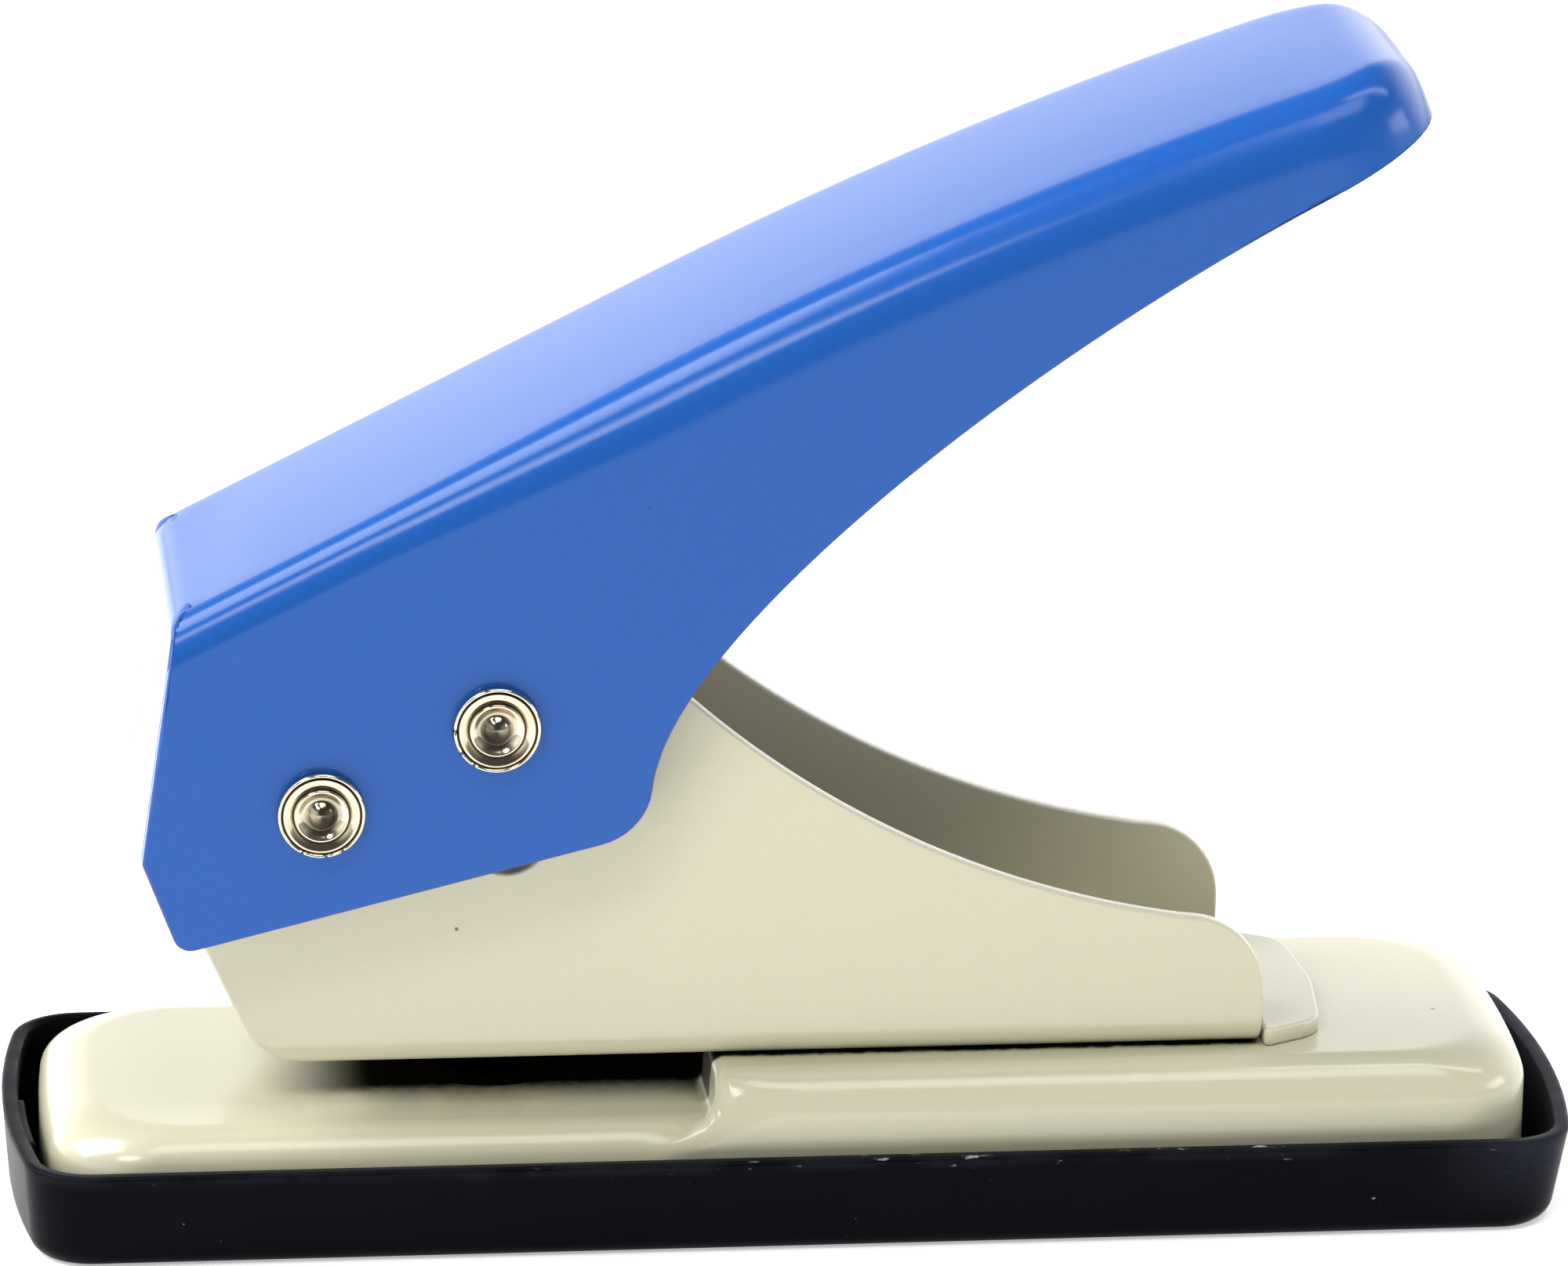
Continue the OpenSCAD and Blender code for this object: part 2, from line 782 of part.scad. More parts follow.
// Handle, measured from the pivot axis

handle_foot = handle_rise * [-sin(handle_slope), cos(handle_slope)];
handle_dir = [cos(handle_slope), sin(handle_slope)];
crown_start = handle_foot + handle_straight * handle_dir;
crown_centre = crown_start + handle_crown_r * [sin(handle_slope), -cos(handle_slope)];

// Slope of the top at a run from the foot of the rise
function top_slope(s) = handle_slope - max(0, s - handle_straight) / handle_crown_r * 180 / PI;

// Direction square to the top
function top_normal(s) = [-sin(top_slope(s)), cos(top_slope(s))];

// Point at a depth under the top
function top_point(s, depth = 0) =
    (s < handle_straight ? handle_foot + s * handle_dir : crown_centre + handle_crown_r * top_normal(s))
    - depth * top_normal(s);

// Points along the crowned top from its start to near the tip
function crown_points(depth, last) = [
    for (i = [0:11])
        top_point(handle_straight + (last - handle_straight) * i / 11, depth)
];

front_top = top_point(-handle_front);
front_low = [-cheek_reach, -cheek_drop];
front_dir = unit(front_low - front_top);
front_in = [-front_dir[1], front_dir[0]];
tip_low = top_point(handle_run, tip_depth);

// Outline of the flanges and of the top, seen from the side
function flange_outline() =
    let (
        heel = [heel_reach, -heel_drop],
        a = heel + heel_lead * [cos(heel_angle), sin(heel_angle)],
        b = a + heel_pull * [cos(heel_angle + heel_kick), sin(heel_angle + heel_kick)],
        slope = [cos(tip_slope), sin(tip_slope)],
        c = tip_low - tip_pull * slope,
        top = crown_points(0, handle_run + 3)
    )
    rounded(concat(
        [
            [-chin_reach, -chin_drop, chin_r],
            [heel[0], heel[1], heel_r]
        ],
        sharp([for (i = [0:16]) bezier(a, b, c, tip_low, i / 16)]),
        sharp([tip_low + 3 * slope]),
        sharp([for (i = [11:-1:0]) top[i]]),
        [
            [front_top[0], front_top[1], front_corner_r],
            [front_low[0], front_low[1], 0.6]
        ]
    ));

// Outline of the space between the flanges, open below
function hollow_outline() =
    let (
        t = handle_sheet,
        top = crown_points(t, handle_run + 3),
        meet = front_top + t * front_in,
        slide = (top_point(0, t) - meet) * top_normal(0) / (front_dir * top_normal(0)),
        inner = meet + slide * front_dir,
        deep = inner + 45 * front_dir,
        floor = top_point(handle_run + 3, 60)
    )
    rounded(concat(
        sharp([deep, floor]),
        sharp([for (i = [11:-1:0]) top[i]]),
        [[inner[0], inner[1], front_corner_r - t]]
    ));

// Cross section of a swept block with rounded top edges
function bend_loop(s, half, r, depth) =
    let (
        n = top_normal(s),
        bend = concat(
            [[half, -40]],
            arc([half - r, -r], r, 0, 90, 6),
            arc([r - half, -r], r, 90, 180, 6),
            [[-half, -40]]
        )
    )
    [
        for (p = bend)
            let (q = top_point(s, depth - proud - p[1]))
            [q[0], p[0], q[1]]
    ];

// Swept block with bent edges and a tip that narrows in plan
module bend_block(sheet) {
    end = handle_run - sheet;
    round_r = tip_corner_r - sheet;
    edge_r = tip_edge_r - sheet;
    half = handle_width / 2 - sheet;
    start = end - round_r;
    runs = concat(
        [-12, 0, handle_straight],
        [for (i = [1:6]) handle_straight + (start - handle_straight) * i / 6]
    );
    skin(concat(
        [
            for (s = runs)
                let (share = max(0, (s - handle_straight) / (handle_run - handle_straight)))
                bend_loop(s, half, handle_bend_r + (tip_bend_r - handle_bend_r) * share - sheet, sheet)
        ],
        [
            for (a = [15:15:90])
                let (
                    s = start + round_r * sin(a),
                    into = max(0, s - (end - edge_r))
                )
                bend_loop(
                    s,
                    half - round_r * (1 - cos(a)),
                    tip_bend_r - sheet,
                    sheet + edge_r - sqrt(max(0, edge_r * edge_r - into * into))
                )
        ]
    ));
}

// Pressed lever with a front lip, two flanges and a closed drawn tip
module handle() {
    inside = handle_inside / 2;
    color([0.22, 0.42, 0.75])
        translate([pivot_x, 0, pivot_z])
            difference() {
                intersection() {
                    bend_block(0);
                    side_plate(flange_outline(), handle_width + 2 * past);
                }
                intersection() {
                    bend_block(handle_sheet);
                    side_plate(hollow_outline(), handle_width);
                }
                translate([-cheek_reach - 4, -inside, -lip_drop - 20])
                    cube([8, handle_inside, 20]);
                for (s = [-1, 1])
                    translate([-cheek_reach - 4, s * (inside - lip_relief / 2) - lip_relief / 2, -lip_drop - past])
                        cube([8, lip_relief, lip_drop + past + front_top[1] - front_corner_r / 2]);
                cross_bar(0, 0, rivet_d / 2 + fixed_clearance, 2 * handle_width);
                cross_bar(
                    drive_x - pivot_x, drive_z - pivot_z, rivet_d / 2 + fixed_clearance, 2 * handle_width
                );
            }
}

// Lever rivets and sleeves

// Half section of a rivet with a rolled clinch at z = 0 and a domed head above the far flange
module lever_rivet(x, z) {
    roll = clinch_roll_r;
    rim = clinch_d / 2;
    disc = clinch_disc_d / 2;
    color([0.8, 0.8, 0.79])
        translate([x, -handle_width / 2, z])
            rotate([-90, 0, 0]) {
                cylinder(h = handle_width, r = rivet_d / 2);
                translate([0, 0, handle_width])
                    dome(rivet_head_d, rivet_head_h);
                rotate([180, 0, 0])
                    rotate_extrude() {
                        square([rim - roll, 1.6 * roll]);
                        translate([rim - roll, roll])
                            intersection() {
                                circle(r = roll);
                                translate([-roll, -roll])
                                    square([2 * roll, 2 * roll]);
                            }
                        square([disc, 1.9 * roll]);
                        square([clinch_pip_d / 2, 2.3 * roll]);
                    }
            }
}

// Rivet that the handle swings on
module pivot_rivet() {
    lever_rivet(pivot_x, pivot_z);
}

// Rivet that carries the drive sleeve
module drive_rivet() {
    lever_rivet(drive_x, drive_z);
}

// Tube that keeps the flanges apart
module sleeve(x, z) {
    color([0.6, 0.61, 0.63])
        difference() {
            cross_bar(x, z, sleeve_d / 2, sleeve_length);
            cross_bar(x, z, sleeve_bore_r, sleeve_length + 2 * past);
        }
}

// Sleeve that turns in the frame
module pivot_sleeve() {
    sleeve(pivot_x, pivot_z);
}

// Sleeve that presses on the punch
module drive_sleeve() {
    sleeve(drive_x, drive_z);
}

// Drawing
chip_tray();
base();
die_ring();
frame();
frame_rivets();
guide_bush();
return_spring();
handle();
pivot_rivet();
pivot_sleeve();
drive_rivet();
drive_sleeve();
punch();
punch_clip();
spring_washer();
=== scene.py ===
"""Looks of a desktop single hole punch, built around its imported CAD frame.

Sizes are in millimetres and meshes become metres when they turn into objects. X runs along the
punch towards the handle's free end, Y across it and Z up, as in the CAD model.
"""

import logging
import math
from dataclasses import dataclass, field
from enum import Enum
from typing import Iterable, Optional, Sequence, Union

import bmesh
import bpy
from mathutils import Matrix, Vector
from mathutils.geometry import delaunay_2d_cdt


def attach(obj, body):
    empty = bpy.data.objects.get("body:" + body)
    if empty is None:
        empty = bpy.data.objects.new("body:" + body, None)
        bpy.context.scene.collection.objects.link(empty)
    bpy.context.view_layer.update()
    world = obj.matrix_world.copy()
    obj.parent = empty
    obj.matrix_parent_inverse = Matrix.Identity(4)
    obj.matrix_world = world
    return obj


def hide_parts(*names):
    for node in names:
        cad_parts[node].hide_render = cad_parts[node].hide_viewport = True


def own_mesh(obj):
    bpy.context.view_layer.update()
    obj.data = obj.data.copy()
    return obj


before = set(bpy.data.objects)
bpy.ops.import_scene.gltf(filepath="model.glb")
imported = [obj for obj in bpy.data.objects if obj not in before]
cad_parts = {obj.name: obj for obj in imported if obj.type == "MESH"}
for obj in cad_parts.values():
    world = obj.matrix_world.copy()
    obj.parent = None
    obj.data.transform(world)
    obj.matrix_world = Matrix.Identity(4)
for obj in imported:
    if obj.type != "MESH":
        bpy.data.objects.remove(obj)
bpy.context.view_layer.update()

LOG = logging.getLogger("hole_punch")
MM = 0.001
TINY = 1e-9

Point2 = tuple[float, float]
Point3 = tuple[float, float, float]
Colour = tuple[float, float, float]
Value = Union[float, Colour, "Term", bpy.types.ID]
Sockets = dict[Union[int, str], Value]

ORIGIN = (0.0, 0.0, 0.0)
EVEN = (1.0, 1.0, 1.0)
# Colour of painted shade: the paper slot's shadow, the channel foot's crevice and the die.
PAINTED_SHADE = (0.006, 0.0055, 0.004)
PUNCH_X = -19.976
PIVOT = (-32.0, 30.4)
SHARP_ANGLE = 60.0
FLAT_WEIGHT = 60


class Body(Enum):
    """The CAD bodies that pieces ride on."""

    BASE = "base"
    TRAY = "tray"
    HANDLE = "handle"
    PUNCH = "punch"


class Slot(Enum):
    """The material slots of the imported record."""

    BLACK_PLASTIC = "black_plastic"
    PUTTY_ENAMEL = "putty_enamel"
    BLUE_ENAMEL = "blue_enamel"
    NICKEL = "nickel"
    STEEL = "steel"
    SPRING_STEEL = "spring_steel"
    BRASS = "brass"


class Axis(Enum):
    """The ways that a turned piece lies."""

    ACROSS = "Y"
    UPRIGHT = "Z"


# Node trees


class Term:
    """A node's output that takes part in Python expressions."""

    def __init__(self, tree: "Tree", socket: bpy.types.NodeSocket) -> None:
        """Wraps one output socket of a tree."""
        self.tree = tree
        self.socket = socket

    def maths(self, operation: str, *others: Value, last: bool = False) -> "Term":
        """Adds a Math node on this term and others, with this term last if wanted."""
        values = (*others, self) if last else (self, *others)
        return self.tree.node("ShaderNodeMath", dict(enumerate(values)), operation=operation)

    def __add__(self, other: Value) -> "Term":
        """Sum."""
        return self.maths("ADD", other)

    def __radd__(self, other: Value) -> "Term":
        """Sum with a number on the left."""
        return self.maths("ADD", other, last=True)

    def __sub__(self, other: Value) -> "Term":
        """Difference."""
        return self.maths("SUBTRACT", other)

    def __rsub__(self, other: Value) -> "Term":
        """Difference from a number on the left."""
        return self.maths("SUBTRACT", other, last=True)

    def __mul__(self, other: Value) -> "Term":
        """Product."""
        return self.maths("MULTIPLY", other)

    def __rmul__(self, other: Value) -> "Term":
        """Product with a number on the left."""
        return self.maths("MULTIPLY", other, last=True)

    def __pow__(self, other: Value) -> "Term":
        """Power."""
        return self.maths("POWER", other)

    def least(self, other: Value) -> "Term":
        """The smaller of two values."""
        return self.maths("MINIMUM", other)

    def most(self, other: Value) -> "Term":
        """The larger of two values."""
        return self.maths("MAXIMUM", other)

    def rise(self, low: Value, high: Value) -> "Term":
        """Smooth step from 0 at low to 1 at high."""
        sockets = {0: self, 1: low, 2: high, 3: 0.0, 4: 1.0}
        return self.tree.node("ShaderNodeMapRange", sockets, interpolation_type="SMOOTHSTEP")

    def over(self, span: Point2) -> "Term":
        """Smooth step from 0 to 1 over a span in millimetres."""
        return self.rise(span[0] * MM, span[1] * MM)

    def fall(self, span: Point2) -> "Term":
        """Smooth step from 1 to 0 over a span in millimetres."""
        return 1.0 - self.over(span)


class Tree:
    """A node tree that is written as expressions."""

    def __init__(self, tree: bpy.types.NodeTree) -> None:
        """Wraps a shader or geometry tree and empties it."""
        self.tree = tree
        tree.nodes.clear()

    def node(
        self,
        kind: str,
        sockets: Optional[Sockets] = None,
        out: Union[int, str] = 0,
        **settings: object,
    ) -> Term:
        """Adds any node.

        Args:
            kind: The node's type name.
            sockets: Values or links of the inputs, by index or name.
            out: Index or name of the wanted output.
            settings: Attributes, which are set first.

        Returns:
            The wanted output as a term.
        """
        made = self.tree.nodes.new(kind)
        for name, value in settings.items():
            setattr(made, name, value)
        for name, value in (sockets or {}).items():
            self.feed(made.inputs[name], value)
        return Term(self, made.outputs[out])

    def feed(self, socket: bpy.types.NodeSocket, value: Value) -> None:
        """Links a term to a socket, or sets the socket's own value.

        Args:
            socket: The input.
            value: A term, number, colour, vector, object or material.
        """
        if isinstance(value, Term):
            self.tree.links.new(value.socket, socket)
        elif isinstance(value, tuple) and socket.type == "RGBA":
            socket.default_value = (*value, 1.0)
        else:
            socket.default_value = value


class Dress(Tree):
    """The node tree of one material."""

    def __init__(self, name: str) -> None:
        """Starts a material with a plain Principled shader.

        Args:
            name: Name of the material.
        """
        self.material = bpy.data.materials.new(name)
        self.material.use_nodes = True
        super().__init__(self.material.node_tree)
        self.shader = self.tree.nodes.new("ShaderNodeBsdfPrincipled")
        self.output = self.tree.nodes.new("ShaderNodeOutputMaterial")
        self.tree.links.new(self.shader.outputs[0], self.output.inputs[0])
        self.place = self.node("ShaderNodeTexCoord", out="Object")

    def pattern(
        self, kind: str, size: float, stretch: Point3, shift: float, **sockets: Value
    ) -> Term:
        """Adds a texture on Object coordinates.

        Args:
            kind: The texture node's type name.
            size: Size of its patches in millimetres.
            stretch: Scale along each axis.
            shift: Offset in metres that gives another pattern of the same kind.
            sockets: Other inputs of the texture.

        Returns:
            The texture's first output.
        """
        place = {"Vector": self.place, "Location": (shift,) * 3, "Scale": stretch}
        moved = self.node("ShaderNodeMapping", place)
        return self.node(kind, {"Vector": moved, "Scale": 1.0 / (size * MM), **sockets})

    def noise(
        self, size: float, detail: float = 2.0, stretch: Point3 = EVEN, shift: float = 0.0
    ) -> Term:
        """Soft random pattern round 0.5, with levels of finer detail."""
        return self.pattern("ShaderNodeTexNoise", size, stretch, shift, Detail=detail)

    def specks(self, spacing: float, size: float, shift: float) -> Term:
        """Scattered marks, 1 inside each, whose radius is a share of their spacing."""
        reach = self.pattern("ShaderNodeTexVoronoi", spacing, EVEN, shift)
        return 1.0 - reach.rise(size * 0.5, size)

    def attribute(self, name: str) -> Term:
        """Reads a value that the mesh carries."""
        return self.node("ShaderNodeAttribute", out="Fac", attribute_name=name)

    def axis(self, name: str) -> Term:
        """One Object coordinate in metres."""
        return self.node("ShaderNodeSeparateXYZ", {0: self.place}, out=name)

    def mix(self, share: Value, low: Value, high: Value) -> Term:
        """Mixes two colours."""
        return self.node("ShaderNodeMix", {0: share, 6: low, 7: high}, out=2, data_type="RGBA")

    def bump(self, height: Term, depth: float, strength: float, **under: Term) -> Term:
        """Normal of a height pattern, its depth in millimetres, over a coarser Normal if given."""
        sockets = {"Height": height, "Distance": depth * MM, "Strength": strength, **under}
        return self.node("ShaderNodeBump", sockets)

    def paint_shade(self, share: Term) -> None:
        """Lays matt painted shade over the shader where a share is 1.

        Args:
            share: Where the painted shade lies.
        """
        coat = self.node("ShaderNodeBsdfDiffuse", {"Color": PAINTED_SHADE, "Roughness": 0.8})
        bare = Term(self, self.shader.outputs[0])
        both = self.node("ShaderNodeMixShader", {0: share, 1: bare, 2: coat})
        self.feed(self.output.inputs[0], both)

    def done(self, **sockets: Value) -> bpy.types.Material:
        """Sets the shader's sockets and gives the material.

        Args:
            sockets: Values by socket name, with underscores for spaces.

        Returns:
            The finished material.
        """
        for name, value in sockets.items():
            self.feed(self.shader.inputs[name.replace("_", " ")], value)
        return self.material


class Form(Tree):
    """A Geometry Nodes tree with named inputs that ends as a plain mesh."""

    def __init__(self, name: str, inputs: dict[str, str]) -> None:
        """Starts a tree with a geometry input and output.

        Args:
            name: Name of the tree.
            inputs: Label and kind of each other input apart from the finish.
        """
        super().__init__(bpy.data.node_groups.new(name, "GeometryNodeTree"))
        face = self.tree.interface
        kinds = {"Geometry": "Geometry", **inputs, "Finish": "Material"}
        for label, kind in kinds.items():
            face.new_socket(label, in_out="INPUT", socket_type=f"NodeSocket{kind}")
        face.new_socket("Geometry", in_out="OUTPUT", socket_type="NodeSocketGeometry")
        inlet = self.tree.nodes.new("NodeGroupInput")
        self.terms = {label: Term(self, inlet.outputs[label]) for label in kinds}
        self.outlet = self.tree.nodes.new("NodeGroupOutput")

    def close(self, shape: Term) -> None:
        """Ends the tree in real, smooth, finished geometry.

        Args:
            shape: The geometry so far.
        """
        real = self.node("GeometryNodeRealizeInstances", {0: shape})
        smooth = self.node("GeometryNodeSetShadeSmooth", {0: real})
        finish = {"Geometry": smooth, "Material": self.terms["Finish"]}
        self.feed(self.outlet.inputs[0], self.node("GeometryNodeSetMaterial", finish))

    def piece(
        self, name: str, points: Sequence[Point3], values: dict[str, object]
    ) -> bpy.types.Object:
        """Runs the tree on loose points.

        Args:
            name: Name of the piece.
            points: The points in millimetres.
            values: The named inputs' values.

        Returns:
            An object with the plain mesh.
        """
        draft = Draft()
        draft.add(points)
        made = draft.piece(name)
        modifier = made.modifiers.new("form", "NODES")
        modifier.node_group = self.tree
        for item in self.tree.interface.items_tree:
            if item.in_out == "INPUT" and item.name in values:
                modifier[item.identifier] = values[item.name]
        return plain(made)


# Numbers and outlines


def clamp(value: float, high: float = 1.0) -> float:
    """Keeps a value between 0 and a limit."""
    return max(0.0, min(high, value))


def ease(share: float) -> float:
    """Smooth step of a share from 0 to 1."""
    return share * share * (3 - 2 * share)


def between(low: float, high: float, share: float) -> float:
    """Value at a share of the way from low to high."""
    return low + (high - low) * share


def scaled(values: Sequence[float], share: float) -> tuple[float, ...]:
    """Numbers of a colour or a point, each times another number."""
    return tuple(share * value for value in values)


def polar(angle: float) -> Point2:
    """Cosine and sine of an angle in degrees."""
    return math.cos(math.radians(angle)), math.sin(math.radians(angle))


def ray(centre: Point2, radius: float, angle: float) -> Point2:
    """Point at a distance and an angle in degrees from a centre."""
    cos, sin = polar(angle)
    return centre[0] + radius * cos, centre[1] + radius * sin


def even_stops(low: float, high: float, count: int) -> tuple[float, ...]:
    """Evenly spaced numbers with both ends."""
    return tuple(low + (high - low) * k / (count - 1) for k in range(count))


def look_up(path: Sequence[Point2], at: float) -> float:
    """Second number of a path where its first number reaches a value.

    Args:
        path: Points in the order of their first numbers.
        at: The value.

    Returns:
        The second number, held at the path's ends.
    """
    for (a, low), (b, high) in zip(path, path[1:]):
        if at <= b:
            return between(low, high, max(0.0, at - a) / max(b - a, TINY))
    return path[-1][1]


def arc(centre: Point2, radius: float, start: float, stop: float, count: int) -> list[Point2]:
    """Points of an arc in even steps from one angle in degrees to another."""
    return [ray(centre, radius, angle) for angle in even_stops(start, stop, count + 1)]


def circle(centre: Point2, radius: float, count: int) -> list[Point2]:
    """Points of a whole circle."""
    return arc(centre, radius, 0, 360, count)[:-1]


def corner(
    before: Point2, at: Point2, after: Point2, radius: float, count: int
) -> list[Point2]:
    """Points of the arc that rounds a corner.

    Args:
        before: The point before the corner.
        at: The corner.
        after: The point after it.
        radius: Radius of the rounding.
        count: Number of steps.

    Returns:
        The points from the first side to the second.
    """
    a, b, c = Vector(before), Vector(at), Vector(after)
    u, v = (a - b).normalized(), (c - b).normalized()
    half = math.acos(max(-1.0, min(1.0, u.dot(v)))) / 2
    middle = b + (u + v).normalized() * radius / math.sin(half)
    first = b + u * radius / math.tan(half) - middle
    last = b + v * radius / math.tan(half) - middle
    start = math.atan2(first.y, first.x)
    sweep = (math.atan2(last.y, last.x) - start + math.pi) % (2 * math.pi) - math.pi
    return arc(tuple(middle), radius, math.degrees(start), math.degrees(start + sweep), count)


def rounded(outline: Sequence[Point3], count: int) -> list[Point2]:
    """Rounds the corners of a closed outline.

    Args:
        outline: Points with the radius of each corner as third number.
        count: Number of steps of each rounding.

    Returns:
        The points of the rounded outline.
    """
    made: list[Point2] = []
    for k, (x, y, r) in enumerate(outline):
        after = outline[(k + 1) % len(outline)]
        made += corner(outline[k - 1][:2], (x, y), after[:2], r, count) if r else [(x, y)]
    return made


def divide(points: Sequence[Point2], step: float) -> list[Point2]:
    """Adds points to a polyline so that no piece is longer than a step.

    Args:
        points: The polyline.
        step: The longest piece.

    Returns:
        The points with those added.
    """
    made = [points[0]]
    for a, b in zip(points, points[1:]):
        count = max(1, math.ceil(math.dist(a, b) / step))
        made += zip(*(even_stops(low, high, count + 1)[1:] for low, high in zip(a, b)))
    return made


def inside(point: Vector, ring: Sequence[Vector]) -> bool:
    """Whether a point lies inside a closed ring.

    Args:
        point: The point.
        ring: The ring's corners in order.

    Returns:
        Whether it lies inside.
    """
    crossed = False
    for a, b in zip(ring, [*ring[1:], ring[0]]):
        if (a.y > point.y) != (b.y > point.y):
            crossed ^= point.x < a.x + (b.x - a.x) * (point.y - a.y) / (b.y - a.y)
    return crossed


def sides_of(face: Sequence[int]) -> list[tuple[int, int]]:
    """The sides of a face as pairs of point numbers."""
    return [(face[k - 1], face[k]) for k in range(len(face))]


# Meshes


class Draft:
    """Points in millimetres and faces of a piece before it becomes an object."""

    def __init__(self) -> None:
        """Starts empty."""
        self.points: list[Point3] = []
        self.faces: list[tuple[int, ...]] = []
        self.edge: dict[int, float] = {}
        self.flats: set[int] = set()

    def add(self, points: Iterable[Point3]) -> list[int]:
        """Adds points and gives their numbers."""
        first = len(self.points)
        self.points.extend(points)
        return list(range(first, len(self.points)))

    def mark(self, row: Iterable[int], value: float = 1.0) -> None:
        """Marks points as lying on a raw edge, or on a lever rivet's split or painted shade."""
        self.edge.update(dict.fromkeys(row, value))

    def face(self, *corners: int) -> None:
        """Adds a face without repeated corners."""
        kept = [c for k, c in enumerate(corners) if c != corners[k - 1]]
        if len(kept) > 2:
            self.faces.append(tuple(kept))

    def grid(self, rows: Sequence[Sequence[int]], closed: bool = False) -> None:
        """Joins rows of points with faces.

        Args:
            rows: Equally long rows in order.
            closed: Whether the rows are rings.
        """
        for low, high in zip(rows, rows[1:]):
            count = len(low)
            for k in range(count if closed else count - 1):
                n = (k + 1) % count
                self.face(low[k], low[n], high[n], high[k])

    def fill(self, loops: Sequence[Sequence[int]], flip: bool = False) -> None:
        """Fills a flat outline with holes.

        Args:
            loops: Outer loop and then holes, as point numbers.
            flip: Whether to turn the faces round.
        """
        numbers = [n for loop in loops for n in loop]
        places = [self.points[n] for n in numbers]
        spans = [max(row) - min(row) for row in zip(*places)]
        u, v = (k for k in range(3) if k != spans.index(min(spans)))
        flat = [Vector((p[u], p[v])) for p in places]
        edges, rings, start = [], [], 0
        for loop in loops:
            ring = range(start, start + len(loop))
            edges += [(k, ring[(k + 1 - start) % len(loop)]) for k in ring]
            rings.append([flat[k] for k in ring])
            start += len(loop)
        first = len(self.faces)
        for corners in delaunay_2d_cdt(flat, edges, [], 1, 1e-7)[2]:
            middle = sum((flat[c] for c in corners), Vector((0.0, 0.0))) / 3
            if sum(inside(middle, ring) for ring in rings) == 1:
                self.face(*[numbers[c] for c in (reversed(corners) if flip else corners)])
        self.flats.update(range(first, len(self.faces)))

    def lathe(
        self, outline: Sequence[Point2], centre: Point3, axis: Axis, sides: int
    ) -> list[list[int]]:
        """Turns a half section about an axis.

        Args:
            outline: Radius and height along the section.
            centre: Foot of the axis.
            axis: The direction of the height.
            sides: Steps round the axis.

        Returns:
            The rings of point numbers.
        """
        rings = []
        hoop = outline[0] == outline[-1]
        cx, cy, cz = centre
        for radius, height in outline[: -1 if hoop else None]:
            spots = circle((0.0, 0.0), radius, sides) if radius else [(0.0, 0.0)]
            if axis is Axis.UPRIGHT:
                ring = self.add((cx + x, cy + y, cz + height) for x, y in spots)
            else:
                ring = self.add((cx + x, cy + height, cz - z) for x, z in spots)
            rings.append(ring if radius else ring * sides)
        if hoop:
            rings.append(rings[0])
        self.grid(rings, closed=True)
        return rings

    def settle(self, at: int, facing: Point3) -> None:
        """Turns all faces the same way round.

        Args:
            at: Number of a point of the surface.
            facing: The way that the surface faces there.
        """
        mesh = bmesh.new()
        corners = [mesh.verts.new(p) for p in self.points]
        for f in self.faces:
            mesh.faces.new([corners[n] for n in f])
        mesh.verts.index_update()
        bmesh.ops.recalc_face_normals(mesh, faces=mesh.faces)
        mesh.normal_update()
        turn = -1 if corners[at].normal.dot(Vector(facing)) < 0 else 1
        self.faces = [tuple(v.index for v in f.verts)[::turn] for f in mesh.faces]
        mesh.free()

    def normals(self) -> list[Vector]:
        """Normal at each point, weighed by the area of the faces round it."""
        places = [Vector(p) for p in self.points]
        made = [Vector(ORIGIN) for _ in places]
        for f in self.faces:
            area = sum((places[a].cross(places[b]) for a, b in sides_of(f)), Vector(ORIGIN))
            for n in f:
                made[n] += area
        return [n.normalized() for n in made]

    def thicken(self, sheet: float, edge_r: float, at: int, facing: Point3) -> None:
        """Gives an open sheet its thickness on the inside, with rounded raw edges.

        Args:
            sheet: Thickness.
            edge_r: Radius of the raw edges.
            at: Number of a point of the surface.
            facing: The way that the surface faces there.
        """
        self.settle(at, facing)
        places, normals, still = [Vector(p) for p in self.points], self.normals(), Vector(ORIGIN)
        sides = {side for f in self.faces for side in sides_of(f)}
        rims = sorted((a, b) for a, b in sides if (b, a) not in sides)
        inward: dict[int, list[Vector]] = {}
        for a, b in rims:
            for n in (a, b):
                pull = normals[n].cross(places[b] - places[a]).normalized()
                inward.setdefault(n, []).append(pull)
        pulls = {
            n: (t[0] + t[-1]) * (edge_r / (1 + max(-0.5, t[0].dot(t[-1]))))
            for n, t in inward.items()
        }
        count = len(places)
        self.points = [tuple(p + pulls.get(n, still)) for n, p in enumerate(places)]
        self.add(
            tuple(p - normals[n] * sheet + pulls.get(n, still)) for n, p in enumerate(places)
        )
        self.flats |= {k + len(self.faces) for k in self.flats}
        self.faces += [tuple(n + count for n in reversed(f)) for f in self.faces]
        worn, self.edge = self.edge, {}
        slack = 1 - math.sqrt(0.5)
        steps = [(slack, edge_r * slack), (0.0, edge_r)]
        steps += [(pull, sheet - depth) for pull, depth in reversed(steps)]
        ladder: dict[int, list[int]] = {}
        for n in sorted(pulls):
            rungs = self.add(
                tuple(places[n] + pulls[n] * pull - normals[n] * depth) for pull, depth in steps
            )
            ladder[n] = [n, *rungs, n + count]
            if n in worn:
                self.mark(rungs, worn[n])
        for a, b in rims:
            self.grid([ladder[a], ladder[b]])

